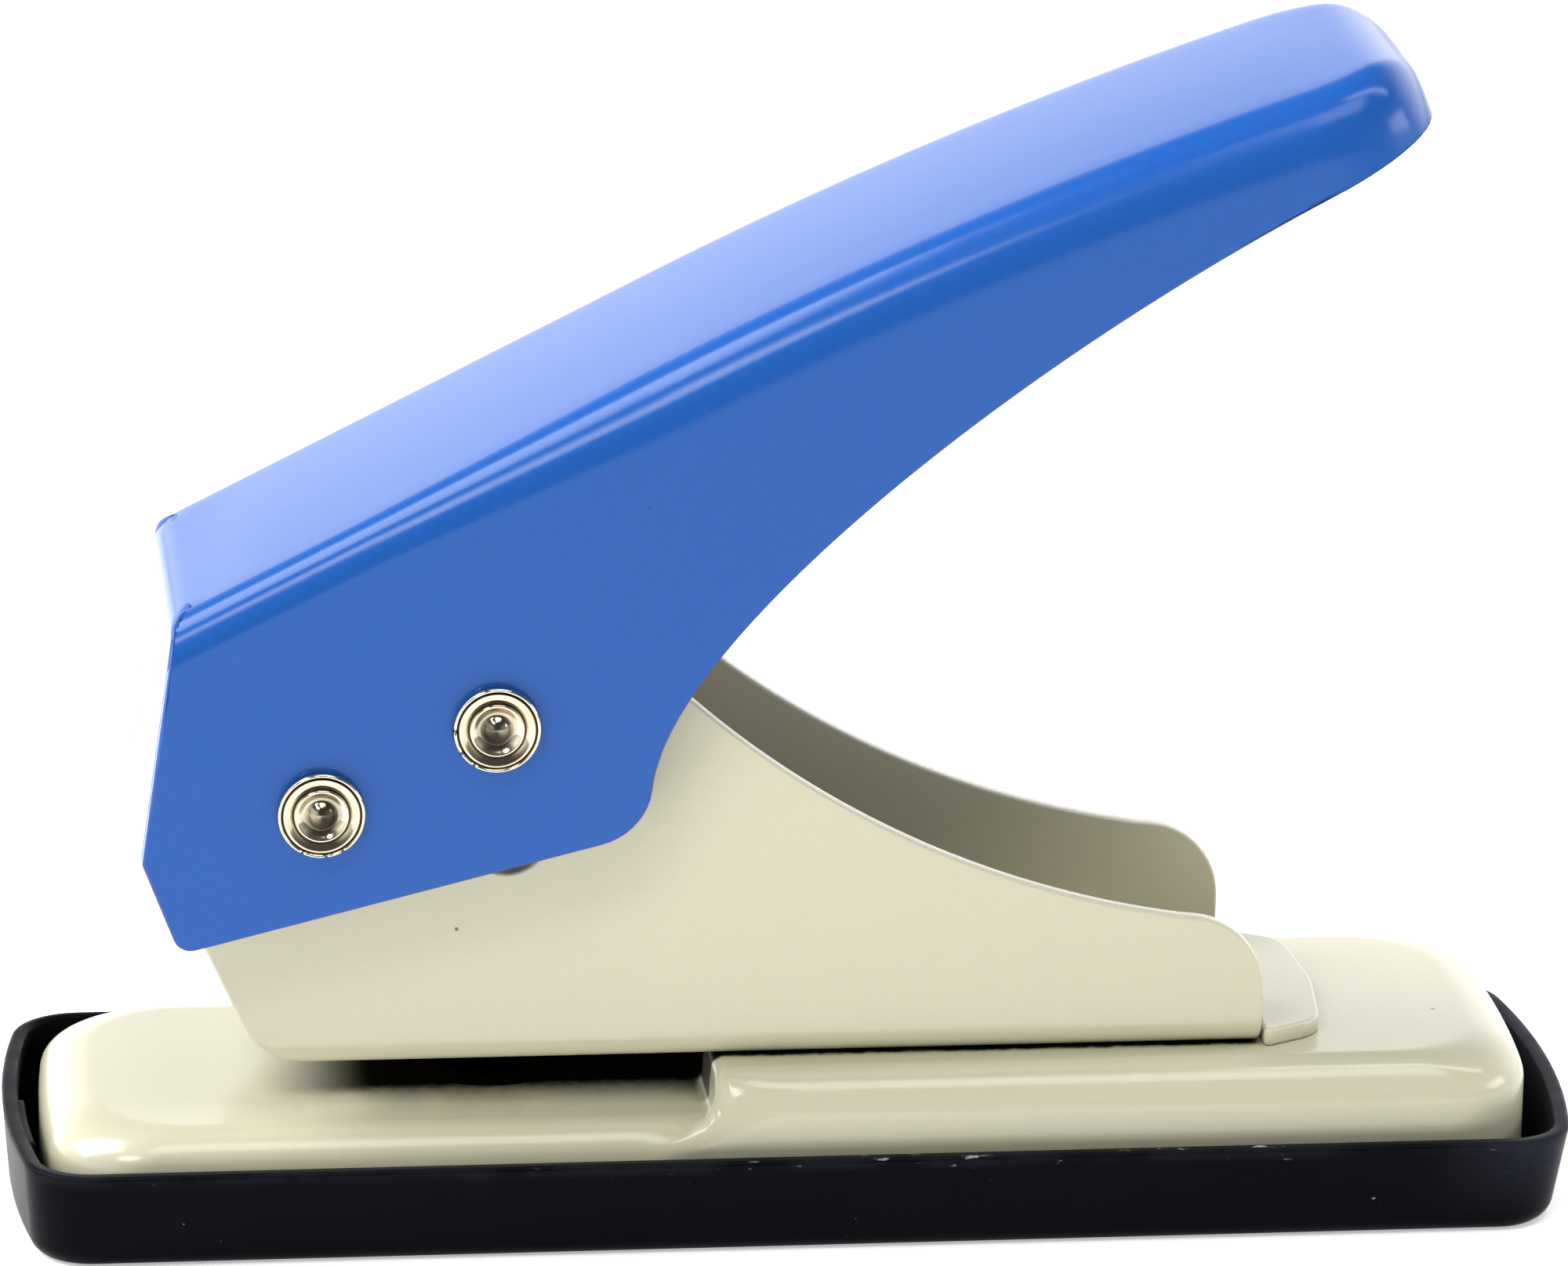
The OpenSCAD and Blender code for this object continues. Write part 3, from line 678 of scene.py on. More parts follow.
    def piece(self, name: str) -> bpy.types.Object:
        """Turns the draft into a smooth object at the origin.

        Args:
            name: Name of the object.

        Returns:
            The object, linked to the scene.
        """
        mesh = bpy.data.meshes.new(name)
        mesh.from_pydata([scaled(p, MM) for p in self.points], [], self.faces)
        if self.flats:
            marks = mesh.attributes.new("flat", "BOOLEAN", "FACE")
            flags = [k in self.flats for k in range(len(mesh.polygons))]
            marks.data.foreach_set("value", flags)
        mesh.validate()
        if self.edge:
            marks = mesh.attributes.new("edge", "FLOAT", "POINT")
            shares = [self.edge.get(n, 0.0) for n in range(len(mesh.vertices))]
            marks.data.foreach_set("value", shares)
        mesh.shade_smooth()
        made = bpy.data.objects.new(name, mesh)
        bpy.context.scene.collection.objects.link(made)
        return made


def plain(piece: bpy.types.Object) -> bpy.types.Object:
    """Replaces a piece's mesh by what its modifiers give, and removes them.

    Args:
        piece: The piece.

    Returns:
        The same piece.
    """
    graph = bpy.context.evaluated_depsgraph_get()
    mesh = bpy.data.meshes.new_from_object(
        piece.evaluated_get(graph), preserve_all_data_layers=True, depsgraph=graph
    )
    old = piece.data
    piece.modifiers.clear()
    piece.data = mesh
    bpy.data.meshes.remove(old)
    mesh.name = piece.name
    return piece


def flatten(piece: bpy.types.Object) -> bpy.types.Object:
    """Weighs a piece's normals so that its flats stay flat beside its bends.

    Args:
        piece: The piece.

    Returns:
        The same piece with a plain mesh.
    """
    piece.modifiers.new("flats", "WEIGHTED_NORMAL").weight = FLAT_WEIGHT
    mesh = plain(piece).data
    marks = mesh.attributes.get("flat")
    if marks is None:
        return piece
    widest: dict[int, bpy.types.MeshPolygon] = {}
    for face, mark in zip(mesh.polygons, marks.data):
        for n in face.vertices if mark.value else ():
            if n not in widest or widest[n].area < face.area:
                widest[n] = face
    level = {n: face.normal.copy() for n, face in widest.items()}
    softly = [corner.vector.copy() for corner in mesh.corner_normals]
    mesh.normals_split_custom_set(
        [level.get(loop.vertex_index, soft) for loop, soft in zip(mesh.loops, softly)]
    )
    mesh.attributes.remove(marks)
    return piece


def soften(piece: bpy.types.Object, edge_r: float) -> bpy.types.Object:
    """Rounds a piece's sharp edges and keeps its flats flat.

    Args:
        piece: The piece.
        edge_r: Radius in millimetres.

    Returns:
        The piece with a plain mesh.
    """
    bevel = piece.modifiers.new("edges", "BEVEL")
    bevel.width = edge_r * MM
    bevel.segments = 2
    bevel.limit_method = "ANGLE"
    bevel.angle_limit = math.radians(SHARP_ANGLE)
    return flatten(piece)


# Finishes


@dataclass(frozen=True)
class Enamel:
    """Stoved enamel on pressed steel, with wear along raw edges, which on the pale finish is
    partly a painted highlight.
    """

    name: str
    colour: Colour
    shade: Colour
    edge_wear_and_sheen: Colour
    edge_share: float
    speck_colour: Colour
    roughness: float
    shine: float
    peel: float = 0.014

    def material(self) -> bpy.types.Material:
        """Builds the material."""
        dress = Dress(self.name)
        cloud = dress.noise(4.0, shift=0.3)
        grain = dress.noise(0.35, shift=0.7)
        ragged = 0.55 + 0.9 * dress.noise(1.6, 3.0, shift=0.5)
        # Raw-edge wear; on the pale finish its light colour is partly a painted highlight.
        worn = (dress.attribute("edge") * ragged).rise(0.45, 0.95) * self.edge_share
        marks = dress.specks(5.0, 0.04, 0.2) * dress.noise(9.0, 1.0, shift=0.9).rise(0.5, 0.6)
        share = 0.3 * dress.noise(30.0, 1.0) + 0.2 * cloud + 0.5 * grain.rise(0.25, 0.75)
        tone = dress.mix(share, self.shade, self.colour)
        tone = dress.mix(marks, tone, self.speck_colour)
        tone = dress.mix(worn, tone, self.edge_wear_and_sheen)
        # Painted shade, where the finish has any.
        self.add_painted_shade(dress)
        rough = self.roughness * (0.85 + 0.3 * cloud) + 0.04 * grain + 0.2 * worn + 0.25 * marks
        normal = dress.bump(dress.noise(1.8, 1.0, shift=0.1), self.peel, 0.4)
        normal = dress.bump(grain, self.peel * 0.2, 0.3, Normal=normal)
        return dress.done(
            Base_Color=tone, Roughness=rough, Normal=normal, Specular_IOR_Level=self.shine
        )

    def add_painted_shade(self, dress: Dress) -> None:
        """Adds painted shade, none on plain enamel."""


@dataclass(frozen=True)
class ChannelEnamel(Enamel):
    """Enamel with painted shade under the channel, each pair a span over which the shade fades."""

    slot_side: Point2 = (4.6, 7.4)
    slot_front: Point2 = (-36.5, -28.0)
    slot_rear: Point2 = (-4.6, -4.0)
    slot_top: Point2 = (8.7, 9.3)
    step: Point2 = (-8.2, -6.6)
    step_rise: float = 2.3
    foot_side: Point2 = (9.2, 9.8)
    foot_front: Point2 = (-7.0, -5.5)
    foot_rear: Point2 = (30.2, 31.2)
    foot_top: Point2 = (11.6, 11.75)
    ragged: float = 0.8

    def add_painted_shade(self, dress: Dress) -> None:
        """Paints a shadow into the paper slot and shade into the crevice along the channel's foot.

        Args:
            dress: The material's tree.
        """
        x, y, z = (dress.axis(name) for name in "XYZ")
        out = y.maths("ABSOLUTE") + self.ragged * MM * (dress.noise(0.9, 4.0, shift=0.6) - 0.5)
        step = self.step_rise * MM * x.over(self.step)
        slot = out.fall(self.slot_side) * x.over(self.slot_front)
        slot = slot * (z - step).fall(self.slot_top) * x.fall(self.slot_rear)
        foot = out.fall(self.foot_side) * z.fall(self.foot_top)
        foot = foot * x.over(self.foot_front) * x.fall(self.foot_rear)
        # Painted shadow in the slot and painted shade along the foot, as matt near-black.
        dress.paint_shade(slot.most(foot))


@dataclass(frozen=True)
class MouldedPlastic:
    """Black moulded plastic with a rubbed rim and pale scuffs."""

    name: str
    colour: Colour
    rubbed: Colour
    scuff: Colour
    roughness: float
    shine: float
    rim: float
    rear: Point2 = (40.0, 50.0)
    nicked: Point2 = (-25.0, 30.0)

    def material(self) -> bpy.types.Material:
        """Builds the material."""
        dress = Dress(self.name)
        spark = dress.noise(0.28)
        drift = dress.noise(9.0, 3.0, shift=0.4)
        length, height = dress.axis("X"), dress.axis("Z")
        near_rim = height.over((self.rim - 1.0, self.rim - 0.25))
        rear = length.over(self.rear)
        rubbed = near_rim * dress.noise(2.2, 4.0, (0.5, 1.0, 1.0), 0.6).rise(0.34, 0.62)
        nicks = dress.noise(0.45, 5.0, (0.3, 0.7, 1.4), 0.15).rise(0.65, 0.71)
        nicks = nicks * dress.noise(4.0, shift=0.8).rise(0.46, 0.54)
        nicks = nicks * length.over(self.nicked) * (1.0 - rear)
        low_nicks = dress.noise(0.6, 5.0, (0.6, 0.8, 1.2), 0.55).rise(0.72, 0.77)
        low_nicks = low_nicks * dress.noise(9.0, 1.0, shift=0.35).rise(0.5, 0.56)
        scuffs = (nicks * near_rim).most(low_nicks)
        tone = dress.mix(drift.rise(0.3, 0.7) * 0.6, self.colour, scaled(self.colour, 1.5))
        tone = dress.mix(rubbed * 0.75, tone, self.rubbed)
        dusty = rear * height.over((0.0, self.rim)) * (0.4 + 0.6 * spark)
        tone = dress.mix(dusty, tone, scaled(self.rubbed, 2.4))
        tone = dress.mix(scuffs, tone, self.scuff)
        rough = self.roughness + 0.12 * (drift - 0.5) + 0.12 * rubbed + 0.2 * scuffs
        normal = dress.bump(scuffs, 0.04, 0.5, Normal=dress.bump(spark, 0.012, 0.5))
        return dress.done(
            Base_Color=tone, Roughness=rough, Normal=normal, Specular_IOR_Level=self.shine
        )


@dataclass(frozen=True)
class BareMetal:
    """Bare metal with fine scratches, handling marks, painted shade and reflection in its marked
    hollows, and painted shade low down.
    """

    name: str
    colour: Colour
    tarnish: Colour
    roughness: float
    scratch: Point3
    haze: float
    shaded_below: Point2 = (8.6, 9.4)

    def material(self) -> bpy.types.Material:
        """Builds the material."""
        dress = Dress(self.name)
        lines = dress.noise(0.35, 4.0, self.scratch)
        cloud = dress.noise(2.4, 4.0, shift=0.3)
        groove_shade = dress.attribute("edge")
        deep = groove_shade**6.0
        tone = dress.mix(cloud.rise(0.35, 0.75) * self.haze, self.colour, self.tarnish)
        # Painted shade and reflection on the lever rivets from their marks, together with their
        # dark splits.
        tone = dress.mix(groove_shade, tone, scaled(self.tarnish, 0.06))
        # Painted shade below the low deck's top, so the die reads black in the paper slot's
        # shadow.
        dress.paint_shade(dress.axis("Z").fall(self.shaded_below))
        rough = self.roughness + 0.06 * lines
        rough = rough + 0.18 * cloud.rise(0.4, 0.8) * self.haze + 0.1 * deep
        normal = dress.bump(lines, 0.006, 0.35)
        return dress.done(
            Base_Color=tone, Roughness=rough, Metallic=1.0 - 0.2 * deep, Normal=normal
        )


@dataclass(frozen=True)
class Paper:
    """Pale studio floor that dims towards the front."""

    name: str = "floor_paper"
    colour: Colour = (0.96, 0.96, 0.96)
    glow: float = 0.44
    dimming: Point2 = (-620.0, -260.0)

    def material(self) -> bpy.types.Material:
        """Builds the material."""
        dress = Dress(self.name)
        fibre = dress.noise(1.2, 3.0).rise(0.3, 0.7) * 0.04
        tone = dress.mix(fibre, self.colour, scaled(self.colour, 0.9))
        lit = dress.axis("Y").over(self.dimming)
        lit = dress.mix(lit, scaled(self.colour, 0.03), self.colour)
        return dress.done(
            Base_Color=tone, Roughness=0.85, Emission_Color=lit, Emission_Strength=self.glow
        )


FINISHES = {
    Slot.BLUE_ENAMEL: Enamel(
        name="blue_enamel",
        colour=(0.0145, 0.094, 0.385),
        shade=(0.012, 0.084, 0.352),
        edge_wear_and_sheen=(0.16, 0.06, 0.075),
        edge_share=0.75,
        speck_colour=(0.01, 0.04, 0.16),
        roughness=0.17,
        shine=0.24,
    ),
    # Putty enamel with a painted shadow in the paper slot and painted shade along the channel's
    # foot.
    Slot.PUTTY_ENAMEL: ChannelEnamel(
        name="putty_enamel",
        colour=(0.57, 0.547, 0.398),
        shade=(0.549, 0.526, 0.382),
        # Pale raw edges: partly wear, partly a painted highlight on the rounded sheet edges.
        edge_wear_and_sheen=(0.68, 0.66, 0.54),
        edge_share=0.4,
        speck_colour=(0.12, 0.1, 0.07),
        roughness=0.18,
        shine=0.5,
    ),
    Slot.BLACK_PLASTIC: MouldedPlastic(
        name="black_plastic",
        colour=(0.0014, 0.0015, 0.003),
        rubbed=(0.009, 0.0098, 0.014),
        scuff=(0.4, 0.4, 0.41),
        roughness=0.34,
        shine=0.035,
        rim=6.5,
    ),
    Slot.NICKEL: BareMetal(
        "nickel", (0.77, 0.69, 0.53), (0.42, 0.32, 0.19), 0.07, (1.0, 0.2, 1.0), 0.4
    ),
    Slot.STEEL: BareMetal(
        "steel", (0.6, 0.6, 0.61), (0.3, 0.26, 0.22), 0.24, (1.0, 1.0, 0.15), 0.5
    ),
    Slot.SPRING_STEEL: BareMetal(
        "spring_steel", (0.52, 0.52, 0.54), (0.22, 0.2, 0.18), 0.28, EVEN, 0.5
    ),
    Slot.BRASS: BareMetal(
        "brass", (0.76, 0.56, 0.25), (0.38, 0.24, 0.1), 0.25, (1.0, 1.0, 0.2), 0.6
    ),
}


@dataclass
class Wardrobe:
    """Makes each finish once and puts it on pieces."""

    made: dict[Slot, bpy.types.Material] = field(default_factory=dict)

    def take(self, slot: Slot) -> bpy.types.Material:
        """Gives the material of a slot."""
        if slot not in self.made:
            self.made[slot] = FINISHES[slot].material()
        return self.made[slot]

    def paint(self, piece: bpy.types.Object, slot: Slot) -> None:
        """Gives a piece one material."""
        piece.data.materials.clear()
        piece.data.materials.append(self.take(slot))

    def dress(self, piece: bpy.types.Object, slot: Slot, body: Body, *nodes: str) -> None:
        """Finishes a piece and ties it to the CAD frame.

        Args:
            piece: The piece.
            slot: Its finish.
            body: The body that it rides on.
            nodes: The CAD nodes that it stands for.
        """
        self.paint(piece, slot)
        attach(piece, body.value)
        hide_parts(*nodes)
        piece.data.calc_loop_triangles()
        count = len(piece.data.loop_triangles)
        LOG.info("%s: %s triangles, stands for %s", piece.name, count, ", ".join(nodes))

    def repaint(self, node: str, slot: Slot) -> None:
        """Gives a CAD node that stays a better material."""
        self.paint(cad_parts[node], slot)
        LOG.info("%s: CAD node kept, finish %s", node, slot.value)


# Sub-assemblies


@dataclass
class Pan:
    """Plan outline with straight sides, rounded corners and bowed ends."""

    length: float
    width: float
    corner_r: float
    bow: float
    side_stops: tuple[float, ...]

    @property
    def end_r(self) -> float:
        """Radius of the bowed ends."""
        w = self.width / 2
        return (w * w + self.bow * self.bow) / (2 * self.bow)

    def near(self, inset: float) -> list[Point2]:
        """Near half of the outline, from the left end's middle to the right end's.

        Args:
            inset: How far the outline is moved in.

        Returns:
            The points.
        """
        w, end_r = self.width / 2, self.end_r
        end_x = self.length / 2 - end_r
        corner_x = end_x + math.sqrt((end_r - self.corner_r) ** 2 - (w - self.corner_r) ** 2)
        meet = math.degrees(math.atan2(w - self.corner_r, corner_x - end_x))
        right = arc((corner_x, self.corner_r - w), self.corner_r - inset, -90, -meet, 14)
        right += arc((end_x, 0.0), end_r - inset, -meet, 0, 10)[1:]
        left = [(-x, y) for x, y in reversed(right)]
        return left + [(x, inset - w) for x in self.side_stops] + right

    def ring(self, inset: float) -> list[Point2]:
        """The whole outline as a ring, near half first."""
        near = self.near(inset)
        return near + [(x, -y) for x, y in reversed(near[1:-1])]


@dataclass
class ChipTray:
    """Black plastic tray that the base sits in."""

    length: float = 105.0
    width: float = 32.5
    corner_r: float = 4.6
    bow: float = 1.8
    side_x: float = 44.0
    height: float = 6.5
    wall: float = 1.1
    floor: float = 1.0
    draft: float = 0.5
    rear_lean: float = 0.7
    rear_x: float = 42.0
    rear_run: float = 8.0
    foot_r: float = 1.2
    rim_r: float = 0.32
    wall_stops: tuple[float, ...] = (2.4, 3.6, 4.8, 5.6)
    inner_stops: tuple[float, ...] = (5.0, 3.2, 1.8)
    lug_y: Point2 = (-8.5, 0.0)
    lug_depth: float = 0.4
    lug_drop: float = 0.3
    lug_chamfer: float = 0.2
    lug_root: float = 0.2
    lug_stops: Point2 = (0.9, 3.0)

    @property
    def pan(self) -> Pan:
        """Plan of the rim."""
        stops = even_stops(-self.side_x, self.side_x, 45)
        return Pan(self.length, self.width, self.corner_r, self.bow, stops)

    def lean(self, z: float) -> float:
        """How far the wall leans in at a height."""
        return self.draft * (1 - z / self.height)

    def rear(self, x: float, z: float) -> float:
        """Length of a point after the rear end's extra lean."""
        share = ease(clamp((x - self.rear_x) / self.rear_run))
        return x - self.rear_lean * (1 - z / self.height) * share

    def profile(self) -> list[Point2]:
        """Inset and height along the wall, from the underside over the rim to the floor."""
        made = [(self.lean(0) + self.foot_r + 0.6, 0.0)]
        for cos, sin in map(polar, range(0, 91, 15)):
            z = self.foot_r * (1 - cos)
            made.append((self.lean(z) + self.foot_r * (1 - sin), z))
        top, soft = self.height - self.rim_r, self.rim_r * 0.7
        made += [(self.lean(z), z) for z in (*self.wall_stops, top)]
        for cos, sin in map(polar, range(22, 91, 17)):
            made.append((self.rim_r * (1 - cos), top + self.rim_r * sin))
        made += [(self.wall - soft, self.height), (self.wall, self.height - soft)]
        made += [(self.wall, z) for z in self.inner_stops]
        return [*made, (self.wall + 0.24, self.floor + 0.24), (self.wall + 0.8, self.floor)]

    def build(self, wardrobe: Wardrobe) -> None:
        """Builds and dresses the tray.

        Args:
            wardrobe: The finishes.
        """
        draft, pan = Draft(), self.pan
        rings = [
            draft.add((self.rear(x, z), y, z) for x, y in pan.ring(inset))
            for inset, z in self.profile()
        ]
        draft.grid(rings, closed=True)
        draft.fill([rings[0]], flip=True)
        draft.fill([rings[-1]])
        draft.settle(rings[-1][0], (0, 0, 1))
        self.add_lug(draft)
        piece = flatten(draft.piece("chip_tray_shell"))
        wardrobe.dress(piece, Slot.BLACK_PLASTIC, Body.TRAY, "chip_tray")

    def add_lug(self, draft: Draft) -> None:
        """Adds the small lug inside the front end.

        Args:
            draft: The draft to add to.
        """
        (low, high), chamfer, end_r = self.lug_y, self.lug_chamfer, self.pan.end_r
        top = self.height - self.lug_drop

        def end_x(y: float, inset: float) -> float:
            """Place of the end wall at an inset."""
            return -(self.length / 2 - end_r + math.sqrt((end_r - inset) ** 2 - y * y))

        rows = []
        for z in (*self.lug_stops, top - chamfer, top):
            step = chamfer if z == top else 0.0
            ys = [low + step, *even_stops(low, high, 9)[1:-1], high - step]
            face = [(end_x(y, self.wall + self.lug_depth - step), y, z) for y in ys]
            first, last = ((end_x(y, self.wall - self.lug_root), y, z) for y in (ys[0], ys[-1]))
            rows.append(draft.add([first, *face, last]))
        draft.grid(rows, closed=True)
        draft.fill([rows[-1]])
        draft.fill([rows[0]], flip=True)


@dataclass
class BaseShell:
    """Pressed base with a raised rear deck and a lowered front deck."""

    length: float = 99.3
    shift: float = -0.35
    width: float = 28.6
    corner_r: float = 6.5
    corner_extra: float = 2.6
    end_extra: float = 0.8
    bow: float = 0.9
    sheet: float = 1.2
    raw_r: float = 0.2
    skirt: tuple[float, ...] = (1.05, 2.2, 3.6, 4.8)
    low_deck: float = 8.3
    high_deck: float = 11.5
    edge_r: float = 3.0
    step_x: float = -5.976
    step_r: float = 1.0
    foot_r: float = 0.7
    step_fade: float = 4.0
    step_gap: float = 1.2
    side_x: float = 38.0
    die_r: float = 5.22

    def step_path(self) -> list[Point2]:
        """Length and height of the step between the decks."""
        foot = (self.step_x - self.foot_r, self.low_deck + self.foot_r)
        crown = (self.step_x + self.step_r, self.high_deck - self.step_r)
        return arc(foot, self.foot_r, -90, -25, 5) + arc(crown, self.step_r, 160, 90, 7)

    def soft_deck(self, x: float, spread: float) -> float:
        """Height of the deck at a length, evened out over a spread to both sides."""
        path = self.step_path()
        return sum(look_up(path, x + spread * k / 6) for k in range(-6, 7)) / 13

    def build(self, wardrobe: Wardrobe) -> None:
        """Builds and dresses the base.

        Args:
            wardrobe: The finishes.
        """
        steps = [x for x, _ in self.step_path()]
        stops = even_stops(-self.side_x, steps[0] - self.step_gap, 18)
        stops = (*stops, *steps, *even_stops(steps[-1] + self.step_gap, self.side_x, 23))
        stops = tuple(x - self.shift for x in stops)
        draft, rings = Draft(), []

        def plan(turn: float, inset: float) -> list[Point2]:
            """Ring at a share of the turn from the skirt to the deck."""
            length = self.length - 2 * self.end_extra * turn
            corner_r = self.corner_r + self.corner_extra * turn
            ring = Pan(length, self.width, corner_r, self.bow, stops).ring(inset)
            return [(x + self.shift, y) for x, y in ring]

        for z in self.skirt:
            rings.append(draft.add((x, y, z) for x, y in plan(0.0, 0.0)))
        for cos, sin in map(polar, range(0, 91, 9)):
            drop, spread = self.edge_r * (1 - sin), self.step_fade * cos**2
            ring = plan(1 - cos, self.edge_r * (1 - cos))
            rings.append(draft.add((x, y, self.soft_deck(x, spread) - drop) for x, y in ring))
        draft.grid(rings, closed=True)
        draft.mark(rings[0])
        self.fill_decks(draft, rings[-1])
        draft.thicken(self.sheet, self.raw_r, rings[-1][0], (0, 0, 1))
        piece = flatten(draft.piece("base_shell"))
        wardrobe.dress(piece, Slot.PUTTY_ENAMEL, Body.BASE, "base")

    def fill_decks(self, draft: Draft, ring: Sequence[int]) -> None:
        """Fills both decks and the step inside the rounded rim.

        Args:
            draft: The draft to add to.
            ring: The rim's inner ring, near half first.
        """
        count = len(ring) // 2 + 1
        near = list(ring[:count])
        far = [near[0], *reversed(ring[count:]), near[-1]]
        steps = [x for x, _ in self.step_path()]
        first = min(range(count), key=lambda k: abs(draft.points[near[k]][0] - steps[0]))
        last = first + len(steps) - 1
        rows = []
        for k in range(first, last + 1):
            x, y, z = draft.points[near[k]]
            inner = draft.add((x, y - 2 * y * n / 12, z) for n in range(1, 12))
            rows.append([near[k], *inner, far[k]])
        draft.grid(rows)
        seat = circle((PUNCH_X, 0), self.die_r, 64)
        hole = draft.add((x, y, self.low_deck) for x, y in seat)
        draft.fill([[*near[: first + 1], *rows[0][1:-1], *reversed(far[1 : first + 1])], hole])
        draft.fill([[*reversed(rows[-1][1:-1]), *near[last:-1], *reversed(far[last:])]])


@dataclass
class FrameChannel:
    """Folded channel that carries the lever."""

    width: float = 20.8
    sheet: float = 1.2
    raw_r: float = 0.22
    bend_r: float = 2.2
    floor_z: float = 11.5
    pivot_hole_r: float = 2.55
    pin_spacing: float = 12.67
    slot_r: float = 2.7
    slot_turn: Point2 = (-12.9, 26.1)
    brow: Point3 = (-41.635, 24.9, 2.5)
    crown_reach: float = 9.6
    crown_turn: Point2 = (150.0, 104.0)
    crown_r: float = 5.0
    top_z: float = 40.2
    top_r: float = 4.0
    scoop: Point2 = (35.0, 83.4)
    scoop_r: float = 63.3
    scoop_end_x: float = 25.0
    wall_end: Point3 = (30.8, 20.24, 5.2)
    tongue_x: float = 35.9
    tongue_half: float = 8.2
    tongue_corner_r: float = 3.0
    tongue_bow: float = 0.8
    tongue_end_r: float = 18.0
    foot_x: float = -35.5
    foot_r: float = 5.5
    bush_hole_r: float = 4.45
    slit: float = 0.22
    slit_r: float = 0.35

    def wall(self) -> list[Point2]:
        """Outline of a wall above the bend, from its front foot round to its rear foot."""
        (x, z), r = self.scoop, self.scoop_r
        start = 180 + math.degrees(math.asin((z - self.top_z) / r))
        stop = 180 + math.degrees(math.acos((x - self.scoop_end_x) / r))
        hollow = arc(self.scoop, r, start, stop, 40)
        crown = [ray(PIVOT, self.crown_reach, angle) for angle in self.crown_turn]
        outline = [
            (self.foot_x, self.floor_z, self.foot_r),
            self.brow,
            *[(*point, self.crown_r) for point in crown],
            (hollow[0][0], self.top_z, self.top_r),
            *[(*point, 0.0) for point in hollow[3:]],
            self.wall_end,
            (self.wall_end[0], self.floor_z, 0.0),
        ]
        return rounded(outline, 12)

    def slot(self) -> list[Point2]:
        """Outline of the slot along the path of the drive sleeve."""
        (low, high), pin, r = self.slot_turn, self.pin_spacing, self.slot_r
        return (
            arc(ray(PIVOT, pin, high), r, high, high + 180, 16)
            + arc(PIVOT, pin - r, high, low, 10)[1:-1]
            + arc(ray(PIVOT, pin, low), r, low + 180, low + 360, 16)
            + arc(PIVOT, pin + r, low, high, 10)[1:-1]
        )

    def build(self, wardrobe: Wardrobe) -> None:
        """Builds and dresses the frame.

        Args:
            wardrobe: The finishes.
        """
        draft = Draft()
        foot, half, end_x = self.floor_z + self.bend_r, self.width / 2, self.wall_end[0]
        whole = self.wall()
        front = [(z, x) for x, z in whole]
        upper = [p for p in whole if p[1] > foot + 0.05]
        wall = divide([(look_up(front, foot), foot), *upper, (end_x, foot)], 1.0)
        holes = [self.slot(), circle(PIVOT, self.pivot_hole_r, 40)]
        feet = []
        for side in (-1, 1):
            rows = []
            for out, down in arc((half - self.bend_r, 0.0), self.bend_r, 0, 90, 10):
                y, z = side * out, foot - down
                stops = even_stops(look_up(front, z), end_x, 60)
                rows.append(draft.add((x, y, z) for x in stops))
            rim = draft.add((x, side * half, z) for x, z in wall[1:-1])
            gaps = [draft.add((x, side * half, z) for x, z in hole) for hole in holes]
            draft.fill([rim + rows[0][::-1], *gaps], flip=side > 0)
            draft.grid([row[::-side] for row in rows])
            for row in (rim, *gaps, *[(row[0], row[-1]) for row in rows]):
                draft.mark(row)
            feet.append(rows[-1])
        seat = circle((PUNCH_X, 0.0), self.bush_hole_r, 48)
        opening = draft.add((x, y, self.floor_z) for x, y in seat)
        draft.mark(opening)
        draft.fill([[*feet[0], *self.tongue(draft), *reversed(feet[1])], opening], flip=True)
        draft.thicken(self.sheet, self.raw_r, feet[0][20], (0, 0, -1))
        piece = flatten(draft.piece("frame_channel"))
        wardrobe.dress(piece, Slot.PUTTY_ENAMEL, Body.BASE, "frame")

    def tongue(self, draft: Draft) -> list[int]:
        """Outline of the tongue behind the walls, from the near bend to the far one.

        Args:
            draft: The draft to add to.

        Returns:
            The outline's point numbers.
        """
        half, back = self.width / 2, self.wall_end[0] + self.slit
        inner, end_x = half - self.bend_r, self.tongue_x - self.tongue_bow
        plan = rounded(
            [
                (back, -half, self.slit_r),
                (end_x, -self.tongue_half, self.tongue_corner_r),
                (self.tongue_x, 0.0, self.tongue_end_r),
                (end_x, self.tongue_half, self.tongue_corner_r),
                (back, half, self.slit_r),
                (back, -inner, 0.0),
            ],
            10,
        )[:-1]
        outline = [(back, -inner), *plan, (back, inner)]
        made = draft.add((x, y, self.floor_z) for x, y in outline)
        draft.mark(made)
        return made


